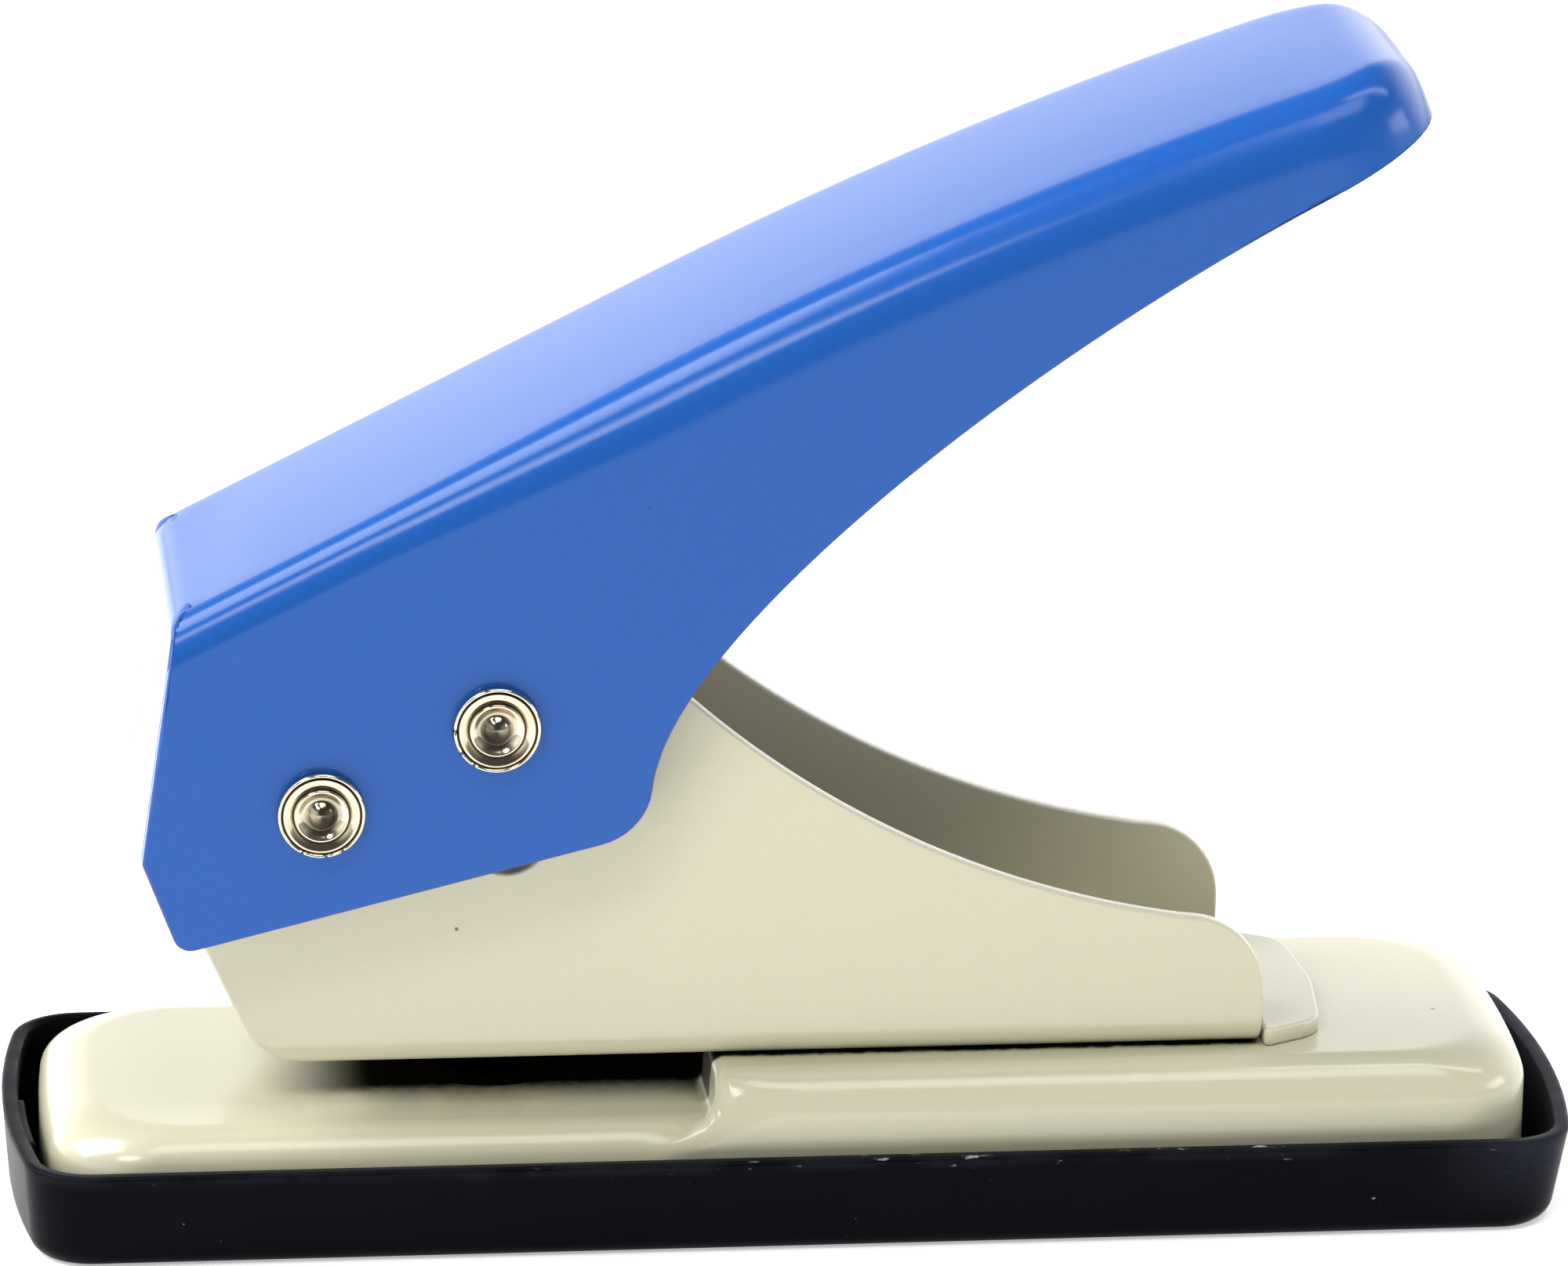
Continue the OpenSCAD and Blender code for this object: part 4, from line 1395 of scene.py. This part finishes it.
@dataclass
class Handle:
    """Pressed lever with two flanges, a front lip and a closed drawn tip.

    Places are measured from the pivot, and lengths along the top from over it.
    """

    width: float = 27.0
    sheet: float = 1.0
    raw_r: float = 0.2
    slope: float = 27.0
    rise: float = 15.57
    camber: float = 0.1
    front: float = 2.65
    front_r: float = 2.2
    front_run: float = 1.9
    front_fade: float = 8.0
    tuck: float = 0.25
    straight: float = 34.4
    crown_r: float = 296.0
    run: float = 86.0
    bend_r: float = 3.2
    tip_bend_r: float = 3.6
    near_bend: tuple[Point2, ...] = ((11.0, 2.65), (22.0, 3.2), (32.0, 3.75), (86.0, 3.9))
    tip_corner_r: float = 8.2
    tip_edge_r: float = 3.9
    tip_depth: float = 5.0
    cheek: Point2 = (-11.6, -3.4)
    chin: Point2 = (-9.2, -9.6)
    chin_r: float = 1.2
    heel: Point2 = (20.8, -2.05)
    heel_r: float = 4.4
    heel_s: float = 19.2
    heel_fade: float = 20.0
    heel_lead: Point2 = (3.0, 74.4)
    heel_pull: Point2 = (9.9, 88.4)
    tip_pull: Point2 = (28.6, 25.0)
    rear_steps: int = 56
    lip_half: float = 12.42
    lip_low: float = -3.6
    bend_steps: int = 10
    top_steps: int = 14
    flange_shares: tuple[float, ...] = (0.12, 0.3, 0.5, 0.7, 0.86, 0.95, 1.0)

    def lean(self, s: float) -> float:
        """Slope of the top at a length, in radians."""
        return math.radians(self.slope) - max(0.0, s - self.straight) / self.crown_r

    def top(self, s: float, depth: float = 0.0) -> Point2:
        """Point along the top.

        Args:
            s: Length along the top.
            depth: Depth under it.

        Returns:
            The point.
        """
        (cos, sin), a = polar(self.slope), self.lean(s)
        reach = min(s, self.straight)
        x = -self.rise * sin + reach * cos
        z = self.rise * cos + reach * sin
        if s > self.straight:
            x += self.crown_r * (sin - math.sin(a))
            z += self.crown_r * (math.cos(a) - cos)
        return x + depth * math.sin(a), z - depth * math.cos(a)

    def along(self, point: Point2) -> Point2:
        """Length along the top and depth under it of a point.

        Args:
            point: The point.

        Returns:
            The length and the depth.
        """
        cos, sin = polar(self.slope)
        x, z = point[0] + self.rise * sin, point[1] - self.rise * cos
        s, depth = x * cos + z * sin, x * sin - z * cos
        past, r = s - self.straight, self.crown_r
        if past <= 0:
            return s, depth
        return self.straight + r * math.atan2(past, r - depth), r - math.hypot(past, r - depth)

    def half(self, s: float) -> float:
        """Half of the width at a length."""
        r = self.tip_corner_r
        return self.width / 2 - r + math.sqrt(r**2 - clamp(s - (self.run - r), r) ** 2)

    def drop(self, s: float) -> float:
        """How far the top has rounded down at a length."""
        r = self.tip_edge_r
        return r - math.sqrt(r**2 - clamp(s - (self.run - r), r) ** 2)

    def bend(self, s: float) -> float:
        """Radius of the far side's bend at a length."""
        return look_up([(self.straight, self.bend_r), (self.run, self.tip_bend_r)], s)

    def front_line(self) -> list[Point2]:
        """Rounded path of the front from the top down to the cheek."""
        return corner(self.top(10.0), self.top(-self.front), self.cheek, self.front_r, 8)

    def front_edge(self, depth: float) -> float:
        """Length along the top where the front is cut at a depth."""
        path = [self.along(p)[::-1] for p in [*self.front_line(), self.cheek]]
        return look_up(path, depth)

    @property
    def start(self) -> float:
        """Length along the top where the flanges start."""
        return self.front_edge(self.bend_r)

    def rear_curve(self) -> list[Point2]:
        """Lower edge from behind the heel to the tip."""
        legs = (self.heel_lead, self.heel_pull, self.tip_pull)
        lead, pull, tip_pull = (length * Vector(polar(angle)) for length, angle in legs)
        a, d = Vector(self.heel) + lead, Vector(self.top(self.run, self.tip_depth))
        b, c = a + pull, d - tip_pull
        made = []
        for t in even_stops(0, 1, 401):
            u = 1 - t
            made.append(tuple(u**3 * a + 3 * t * u**2 * b + 3 * t * t * u * c + t**3 * d))
        return made

    def lower_edge(self) -> list[tuple[float, Point2]]:
        """Stations along the lower edge, each with its length along the top and its point."""
        rear, start, met = self.rear_curve(), self.start, self.start + self.front_run
        front = [self.cheek, *corner(self.cheek, self.chin, self.heel, self.chin_r, 5)]
        front = divide(front, 0.8)
        curl = corner(self.chin, self.heel, rear[0], self.heel_r, 8)
        under = divide([front[-1], curl[0]], 1.3) + curl[1:]
        made = list(zip(even_stops(start, met, len(front)), front))
        made += list(zip(even_stops(met, self.heel_s, len(under)), under))[1:]
        first, tip = self.along(curl[-1])[0], self.run - self.tip_corner_r
        lengths = [*even_stops(first, tip, self.rear_steps + 1)[1:]]
        lengths += [tip + self.tip_corner_r * polar(angle)[1] for angle in range(6, 91, 6)]
        reached = [self.along(p)[0] for p in rear]
        xs, zs = (list(zip(reached, row)) for row in zip(*rear))
        for s in lengths:
            fade = max(0.0, 1 - (s - first) / self.heel_fade)
            low = (look_up(xs, s), look_up(zs, s))
            made.append((s + (self.heel_s - first) * fade * fade, low))
        return made

    def side(self, s: float, low: Point2, r: float) -> list[Point3]:
        """Cross section on the far side, from the flat of the top down to the lower edge.

        Args:
            s: Length along the top.
            low: The lower edge's point.
            r: Radius of the bend.

        Returns:
            The points.
        """
        half, drop, depth, start = self.half(s), self.drop(s), self.along(low)[1], self.start
        follow = clamp(1 - (s - start) / self.front_fade)

        def upper(deep: float, under: float) -> Point2:
            """Point under the top, moved along with the front's cut at a depth."""
            lead = follow * (self.front_edge(deep) - start) if follow else 0.0
            return self.top(s + lead, under)

        cut = depth < drop + r
        turned = math.acos(max(-1.0, min(1.0, 1 - (depth - drop) / r))) if cut else math.pi / 2
        bent, foot = r * turned, upper(r, drop + r)
        straight = 0.0 if cut else math.dist(foot, low)
        total = bent + straight
        close = min(bent, 0.75 * total)
        lengths = [close * k / self.bend_steps for k in range(self.bend_steps + 1)]
        lengths += [close + (total - close) * share for share in self.flange_shares]
        made = []
        for length in lengths:
            if length <= bent + TINY:
                a = length / r
                deep = drop + r * (1 - math.cos(a))
                x, z = upper(deep, deep)
                made.append((x, half - r + r * math.sin(a), z))
            else:
                x, z = (between(p, q, (length - bent) / straight) for p, q in zip(foot, low))
                made.append((x, self.half(self.along((x, z))[0]), z))
        return made

    def build(self, wardrobe: Wardrobe) -> None:
        """Builds and dresses the handle.

        Args:
            wardrobe: The finishes.
        """
        draft, (px, pz), start = Draft(), PIVOT, self.start
        rows = []
        for s, low in self.lower_edge():
            tuck = self.tuck * max(0.0, 1 - (s - start) / 4)
            far = [
                (px + x + tuck * clamp(k / 3 - 2), y, pz + z)
                for k, (x, y, z) in enumerate(self.side(s, low, self.bend(s)))
            ]
            near = [
                (px + x, -y, pz + z)
                for x, y, z in reversed(self.side(s, low, look_up(self.near_bend, s)))
            ]
            x, y, z = far[0]
            middle, reach = (y + near[-1][1]) / 2, (y - near[-1][1]) / 2
            swell = self.camber * clamp(min((s + 1) / 6, (self.run - s - 1) / 8))
            cos, sin = math.cos(self.lean(s)), math.sin(self.lean(s))
            flat = []
            for across in even_stops(-1, 1, self.top_steps + 1)[1:-1]:
                lift = swell * (1 - across * across)
                flat.append((x - lift * sin, middle + reach * across, z + lift * cos))
            rows.append(draft.add([*near, *flat, *far]))
        draft.grid(rows)
        flange = len(self.flange_shares)
        sides = self.bend_steps + flange
        self.add_lip(draft, rows[0][sides:-sides])
        self.close_tip(draft, rows[-1], sides)
        draft.mark(n for row in rows for n in (row[0], row[-1]))
        draft.mark([*rows[0][:flange], *rows[0][-flange:]], 0.6)
        draft.thicken(self.sheet, self.raw_r, rows[40][len(rows[40]) // 2], (0, 0, 1))
        piece = flatten(draft.piece("handle_shell"))
        wardrobe.dress(piece, Slot.BLUE_ENAMEL, Body.HANDLE, "handle")

    def add_lip(self, draft: Draft, edge: Sequence[int]) -> None:
        """Adds the lip that bends down from the front of the top.

        Args:
            draft: The draft to add to.
            edge: The top's front edge between the bends.
        """
        px, pz = PIVOT
        bend = self.front_line()[1:]
        end = bend[-1]
        share = (self.lip_low - end[1]) / (self.cheek[1] - end[1])
        low = (between(end[0], self.cheek[0], share), self.lip_low)
        neck = abs(draft.points[edge[0]][1])
        rows = [list(edge)]
        for k, (x, z) in enumerate(bend + divide([end, low], 1.4)[1:]):
            flare = ease(clamp((k - 2) / (len(bend) - 2)))
            wide = between(1, self.lip_half / neck, flare)
            rows.append(draft.add((px + x, draft.points[n][1] * wide, pz + z) for n in edge))
        draft.grid([row[::-1] for row in rows])

    def close_tip(self, draft: Draft, row: Sequence[int], sides: int) -> None:
        """Closes the tip with an end wall.

        Args:
            draft: The draft to add to.
            row: The last cross section.
            sides: Number of steps on each side.
        """
        walls = []
        for a, b in list(zip(row, reversed(row)))[:sides]:
            near, far = (Vector(draft.points[n]) for n in (a, b))
            steps = [near.lerp(far, n / self.top_steps) for n in range(1, self.top_steps)]
            walls.append([a, *draft.add(tuple(p) for p in steps), b])
        walls.append(list(row[sides:-sides]))
        draft.grid(walls)
        draft.mark(walls[0])


@dataclass
class Rivets:
    """Rivets and sleeves, each made once and set out on its points."""

    lever_points: tuple[Point3, ...] = ((PIVOT[0], 0.0, PIVOT[1]), (-20.622, 0.0, 35.974))
    frame_points: tuple[Point3, ...] = ((3.02, 0.0, 0.0), (23.02, 0.0, 0.0))
    half_grip: float = 13.5
    shank_r: float = 2.0
    dome_r: float = 3.3
    dome: float = 1.1
    dome_foot: Point2 = (0.08, 0.1)
    lever_sides: int = 120
    lever_turn: float = 1.1
    rim_r: float = 2.55
    splits: tuple[float, ...] = (59.0, 84.0, 118.0)
    split_pull: float = 0.985
    split_push: float = 0.34
    dish_r: float = 1.35
    # Reach and darkness of the painted shade and reflection across the clinch's face.
    shade_rings: tuple[Point2, ...] = (
        (0.8, 1.0), (1.1, 1.0), (1.35, 0.55), (1.77, 0.05),
        (1.95, 1.0), (2.3, 0.2), (2.48, 0.05), (2.6, 1.0),
    )
    lit_angle: float = 50.0
    sleeve_r: float = 2.5
    sleeve_bore_r: float = 2.05
    sleeve_half: float = 12.45
    sleeve_chamfer: float = 0.2
    sleeve_edge_r: float = 0.06
    web_top: float = 12.7
    deck_under: float = 10.3
    stud_r: float = 1.75
    stud_head: Point2 = (3.5, 1.5)
    stud_foot: Point2 = (2.8, 0.9)
    stud_chamfer: float = 0.3

    def copies(self) -> Form:
        """Tree that sets a template out on points, each turned a little further."""
        form = Form("rivets_on_points", {"Template": "Object", "Turn": "Float"})
        points, shape, turn, _ = form.terms.values()
        template = form.node("GeometryNodeObjectInfo", {0: shape}, out="Geometry")
        angles = {1: form.node("GeometryNodeInputIndex") * turn}
        spin = form.node("ShaderNodeCombineXYZ", angles)
        places = {"Points": points, "Instance": template, "Rotation": spin}
        form.close(form.node("GeometryNodeInstanceOnPoints", places))
        return form

    def clinch(self) -> list[Point2]:
        """Half section of a lever rivet along Y, from the clinch's pip to the far head."""
        grip, r = self.half_grip, self.dome_r
        pip = [
            (0.0, -1.0), (0.15, -0.99), (0.3, -0.95), (0.45, -0.88), (0.6, -0.78),
            (0.74, -0.65), (0.85, -0.54), (0.93, -0.47), (1.03, -0.45),
        ]
        dish = [
            (1.15, -0.48), (1.3, -0.56), (1.45, -0.67), (1.57, -0.77), (1.65, -0.82),
            (1.72, -0.82), (1.77, -0.74), (1.81, -0.58), (1.9, -0.54), (1.97, -0.6),
            (2.1, -0.66), (2.3, -0.73), (2.44, -0.77), (2.51, -0.76), (2.55, -0.68),
        ]
        rim = [
            (2.59, -0.68), (2.63, -0.78), (2.7, -0.86), (2.78, -0.85), (2.85, -0.74),
            (2.89, -0.58), (2.9, -0.42), (2.88, -0.22), (2.84, -0.08), (2.78, 0.0),
        ]
        face = [*pip, *dish, *rim, (self.shank_r, 0.0)]
        made = [(reach, height - grip) for reach, height in face]
        inset, foot = r - self.dome_foot[0], grip + self.dome_foot[1]
        made += [(self.shank_r, 0.0), (self.shank_r, grip), (inset, grip), (r, foot)]
        ball = r * r / 2 / self.dome + self.dome / 2
        for reach in even_stops(r, 0.0, 9)[1:]:
            made.append((reach, foot + self.dome - ball + math.sqrt(ball**2 - reach**2)))
        return made

    def lever_template(self) -> bpy.types.Object:
        """One lever rivet at the origin, with painted shade and reflection in its dish and
        hollows, lighter towards the light, and with splits in its rolled rim.
        """
        draft, outline, sides = Draft(), self.clinch(), self.lever_sides
        rings = draft.lathe(outline, ORIGIN, Axis.ACROSS, sides)
        split_at = [round(angle / 360 * sides) for angle in self.splits]
        for ring, (r, h) in zip(rings, outline):
            rise = -self.half_grip - h
            if r > self.rim_r and rise > 0.3:
                for number in (ring[k] for k in split_at):
                    (x, y, z), pull = draft.points[number], self.split_pull
                    draft.points[number] = (x * pull, y + self.split_push, z * pull)
                    draft.mark([number])
            depth = next((d for reach, d in self.shade_rings if r <= reach), 0.0)
            if rise < 0.4 or not depth:
                continue
            # Painted reflection: the dish is darker on the side away from lit_angle.
            for k, number in enumerate(ring):
                lit = 0.5 - 0.5 * polar(360 * k / sides - self.lit_angle)[0]
                faded = 1.0 - 0.5 * lit**1.5 if r < self.dish_r else 1.0
                draft.mark([number], depth * faded)
        return draft.piece("lever_rivet_template")

    def sleeve_template(self) -> bpy.types.Object:
        """One spacer sleeve at the origin."""
        r, bore, h, c = self.sleeve_r, self.sleeve_bore_r, self.sleeve_half, self.sleeve_chamfer
        low = [(bore, -h), (r - c, -h), (r, c - h)]
        outline = [*low, (r, 0.0), *[(reach, -z) for reach, z in reversed(low)], low[0]]
        draft = Draft()
        draft.lathe(outline, ORIGIN, Axis.ACROSS, 64)
        return draft.piece("sleeve_template")

    def stud_template(self) -> bpy.types.Object:
        """One frame rivet with its head on the channel's floor."""
        top, under, c = self.web_top, self.deck_under, self.stud_chamfer
        (head_r, head), (foot_r, foot) = self.stud_head, self.stud_foot
        low = under - foot
        outline = [(0.0, low), (foot_r - c, low), (foot_r, low + c), (foot_r, under)]
        outline += [(self.stud_r, under), (self.stud_r, top)]
        outline += [(head_r * cos, top + head * sin) for cos, sin in map(polar, range(0, 90, 10))]
        draft = Draft()
        draft.lathe([*outline, (0.0, top + head)], ORIGIN, Axis.UPRIGHT, 48)
        return draft.piece("stud_template")

    def build(self, wardrobe: Wardrobe) -> None:
        """Builds and dresses the rivets and sleeves.

        Args:
            wardrobe: The finishes.
        """
        form = self.copies()

        sets = (
            (
                "lever_rivets", self.lever_template(), self.lever_points, self.lever_turn,
                Slot.NICKEL, Body.HANDLE, ("pivot_rivet", "drive_rivet"),
            ),
            (
                "lever_sleeves", self.sleeve_template(), self.lever_points, 0.0,
                Slot.STEEL, Body.HANDLE, ("pivot_sleeve", "drive_sleeve"),
            ),
            (
                "channel_rivets", self.stud_template(), self.frame_points, 0.0,
                Slot.NICKEL, Body.BASE, ("frame_rivets",),
            ),
        )
        for name, template, points, turn, slot, body, nodes in sets:
            values = {"Template": template, "Turn": turn, "Finish": wardrobe.take(slot)}
            piece = form.piece(name, points, values)
            bpy.data.objects.remove(template)
            if slot is Slot.STEEL:
                soften(piece, self.sleeve_edge_r)
            wardrobe.dress(piece, slot, body, *nodes)


@dataclass
class PunchSet:
    """Punch, return spring and what guides them."""

    coil_r: float = 4.9
    wire_r: float = 0.45
    wire_sides: int = 14
    turns: float = 6.5
    turn_steps: int = 40
    low: float = 14.03
    high: float = 28.994
    end_pitch: float = 1.4
    seat_z: float = 13.5
    keep: float = 0.47
    edge_r: float = 0.05
    bush: tuple[Point2, ...] = (
        (3.05, 11.55), (4.3, 11.55), (4.4, 11.65), (4.4, 12.7), (5.5, 12.7), (5.65, 12.8),
        (5.65, 13.4), (5.5, 13.5), (4.05, 13.5), (4.0, 13.6), (4.0, 18.3), (3.8, 18.5),
        (3.15, 18.5), (3.05, 18.4),
    )
    washer: tuple[Point2, ...] = (
        (3.1, 29.53), (5.55, 29.53), (5.65, 29.63), (5.65, 30.02), (5.55, 30.12), (3.1, 30.12),
    )
    die: tuple[Point2, ...] = (
        (3.15, 5.3), (5.1, 5.3), (5.2, 5.4), (5.2, 8.22), (5.12, 8.3), (3.12, 8.3),
        (3.05, 8.23), (3.05, 5.4),
    )

    def spring_form(self, labels: Iterable[str]) -> Form:
        """Tree that winds wire into a spring with closed ends.

        Args:
            labels: The labels of its sizes, in the order that build gives them.

        Returns:
            The tree.
        """
        form = Form("wound_spring", dict.fromkeys(labels, "Float"))
        _, turns, coil, low, pitch, middle, wire, centre, _ = form.terms.values()
        steps = self.turn_steps * int(self.turns + 1)
        line = form.node("GeometryNodeMeshLine", {"Count": steps})
        at = form.node("GeometryNodeInputIndex") * (1.0 / (steps - 1)) * turns
        angle = at * (2 * math.pi)
        height = low + pitch * at.least(1.0)
        height = height + middle * (at - 1.0).most(0.0).least(turns - 2.0)
        height = height + pitch * (at - (turns - 1.0)).most(0.0)
        across = centre + coil * angle.maths("COSINE")
        place = {0: across, 1: coil * angle.maths("SINE"), 2: height}
        place = form.node("ShaderNodeCombineXYZ", place)
        bent = form.node("GeometryNodeSetPosition", {"Geometry": line, "Position": place})
        path = form.node("GeometryNodeMeshToCurve", {"Mesh": bent})
        ring = {"Resolution": self.wire_sides, "Radius": wire}
        ring = form.node("GeometryNodeCurvePrimitiveCircle", ring, mode="RADIUS")
        tube = {"Curve": path, "Profile Curve": ring, "Fill Caps": True}
        form.close(form.node("GeometryNodeCurveToMesh", tube))
        return form

    def build(self, wardrobe: Wardrobe) -> None:
        """Builds and dresses the spring and turned pieces, and repaints the punch and its clip.

        Args:
            wardrobe: The finishes.
        """
        middle = (self.high - self.low - 2 * self.end_pitch) / (self.turns - 2)
        values = {
            "Turns": self.turns,
            "Coil radius": self.coil_r * MM,
            "Low": self.low * MM,
            "End pitch": self.end_pitch * MM,
            "Middle pitch": middle * MM,
            "Wire radius": self.wire_r * MM,
            "Centre": PUNCH_X * MM,
        }
        form = self.spring_form(values)
        values["Finish"] = wardrobe.take(Slot.SPRING_STEEL)
        spring = form.piece("spring_wire", [ORIGIN], values)
        wardrobe.dress(spring, Slot.SPRING_STEEL, Body.BASE, "return_spring")
        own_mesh(spring)
        for name, outline, slot, body, node in (
            ("bush", self.bush, Slot.BRASS, Body.BASE, "guide_bush"),
            ("washer", self.washer, Slot.STEEL, Body.PUNCH, "spring_washer"),
            # The die lies wholly under the steel's painted shade, so it is painted black.
            ("die", self.die, Slot.STEEL, Body.BASE, "die_ring"),
        ):
            draft = Draft()
            draft.lathe([*outline, outline[0]], (PUNCH_X, 0.0, 0.0), Axis.UPRIGHT, 72)
            wardrobe.dress(soften(draft.piece(name), self.edge_r), slot, body, node)
        wardrobe.repaint("punch", Slot.STEEL)
        wardrobe.repaint("punch_clip", Slot.SPRING_STEEL)


# Studio


@dataclass
class Light:
    """One soft box, aimed at a point."""

    name: str
    place: Point3
    size: Point2
    power: float
    aim: Point3 = (0.0, 0.0, 45.0)

    def build(self) -> None:
        """Adds the light to the scene."""
        data = bpy.data.lights.new(self.name, "AREA")
        data.shape = "RECTANGLE"
        data.size, data.size_y = scaled(self.size, MM)
        data.energy = self.power
        lamp = bpy.data.objects.new(self.name, data)
        lamp.location = Vector(self.place) * MM
        way = Vector(self.aim) - Vector(self.place)
        lamp.rotation_euler = way.to_track_quat("-Z", "Y").to_euler()
        bpy.context.scene.collection.objects.link(lamp)


@dataclass(frozen=True)
class Sky:
    """Bright sweep behind, a paler wall over it, bright sides and a dim room at the front."""

    name: str = "studio_room"
    room: float = 0.1
    sweep: float = 1.15
    back: float = 0.75
    left: float = 1.3
    right: float = 0.4

    def build(self) -> bpy.types.World:
        """Builds the world."""
        world = bpy.data.worlds.new(self.name)
        world.use_nodes = True
        tree = Tree(world.node_tree)
        way = tree.node("ShaderNodeTexCoord", out="Generated")
        x, y, z = (tree.node("ShaderNodeSeparateXYZ", {0: way}, out=name) for name in "XYZ")
        low, behind = 1.0 - z.rise(0.35, 0.65), y.rise(0.1, 0.6)
        swept = self.sweep * behind * (1.0 - z.rise(0.2, 0.42 + 1.1 * x.most(0.0)))
        glow = self.room + self.back * behind * low + swept
        glow = glow + self.left * (-1.0 * x).rise(0.25, 0.8) * low
        glow = glow + self.right * x.rise(0.3, 0.9) * low
        light = tree.node("ShaderNodeBackground", {"Color": EVEN, "Strength": glow})
        output = tree.tree.nodes.new("ShaderNodeOutputWorld")
        tree.feed(output.inputs["Surface"], light)
        return world


@dataclass
class Studio:
    """Floor, soft light and the camera at the photograph's angle."""

    target: Point3 = (-1.6, 0.0, 37.4)
    yaw: float = -6.56
    elevation: float = 17.34
    roll: float = 0.87
    distance: float = 593.0
    sensor: float = 36.0
    clip: Point2 = (10.0, 50000.0)
    focal_px: float = 11397.0
    centre_px: Point2 = (977.0, 815.0)
    image_px: tuple[int, int] = (2000, 1615)
    floor_half: float = 4000.0
    floor_z: float = 0.02
    lights: tuple[Light, ...] = (
        Light("over", (-540.0, 145.0, 618.0), (400.0, 560.0), 7.4),
        Light("front_left", (-352.0, -400.0, 645.0), (260.0, 150.0), 1.6),
        Light("front", (96.0, -264.0, 797.0), (500.0, 300.0), 2.1),
        Light("tube", (350.0, 40.0, 740.0), (70.0, 620.0), 1.3),
        Light("right", (760.0, -60.0, 220.0), (330.0, 220.0), 1.2),
    )

    def build(self) -> None:
        """Builds the studio."""
        self.add_floor()
        self.add_camera()
        for light in self.lights:
            light.build()
        scene = bpy.context.scene
        scene.world = Sky().build()
        scene.view_settings.view_transform = "Standard"

    def add_floor(self) -> None:
        """Adds the pale floor."""
        draft, stops = Draft(), even_stops(-self.floor_half, self.floor_half, 9)
        draft.grid([draft.add((x, y, self.floor_z) for x in stops) for y in stops])
        floor = draft.piece("studio_floor")
        floor.data.materials.append(Paper().material())

    def add_camera(self) -> None:
        """Adds the camera."""
        (cos, sin), (flat, lift) = polar(self.yaw), polar(self.elevation)
        back = Vector((sin * flat, -cos * flat, lift))
        right = (-back).cross(Vector((0, 0, 1))).normalized()
        up = right.cross(-back)
        cos, sin = polar(self.roll)
        across, over = cos * right + sin * up, cos * up - sin * right
        (wide, high), (x, y) = self.image_px, self.centre_px
        data = bpy.data.cameras.new("camera")
        data.sensor_width = self.sensor
        data.lens = self.focal_px * self.sensor / wide
        data.shift_x, data.shift_y = (wide / 2 - x) / wide, (y - high / 2) / wide
        data.clip_start, data.clip_end = scaled(self.clip, MM)
        camera = bpy.data.objects.new("camera", data)
        place = (Vector(self.target) + back * self.distance) * MM
        turn = Matrix((across, over, back)).transposed()
        camera.matrix_world = Matrix.Translation(place) @ turn.to_4x4()
        bpy.context.scene.collection.objects.link(camera)
        bpy.context.scene.camera = camera


def main() -> None:
    """Builds the punch and its studio."""
    logging.basicConfig(level=logging.INFO, format="%(name)s: %(message)s")
    wardrobe = Wardrobe()
    for part in (ChipTray(), BaseShell(), FrameChannel(), Handle(), Rivets(), PunchSet()):
        part.build(wardrobe)
    Studio().build()


if __name__ == "__main__":
    main()
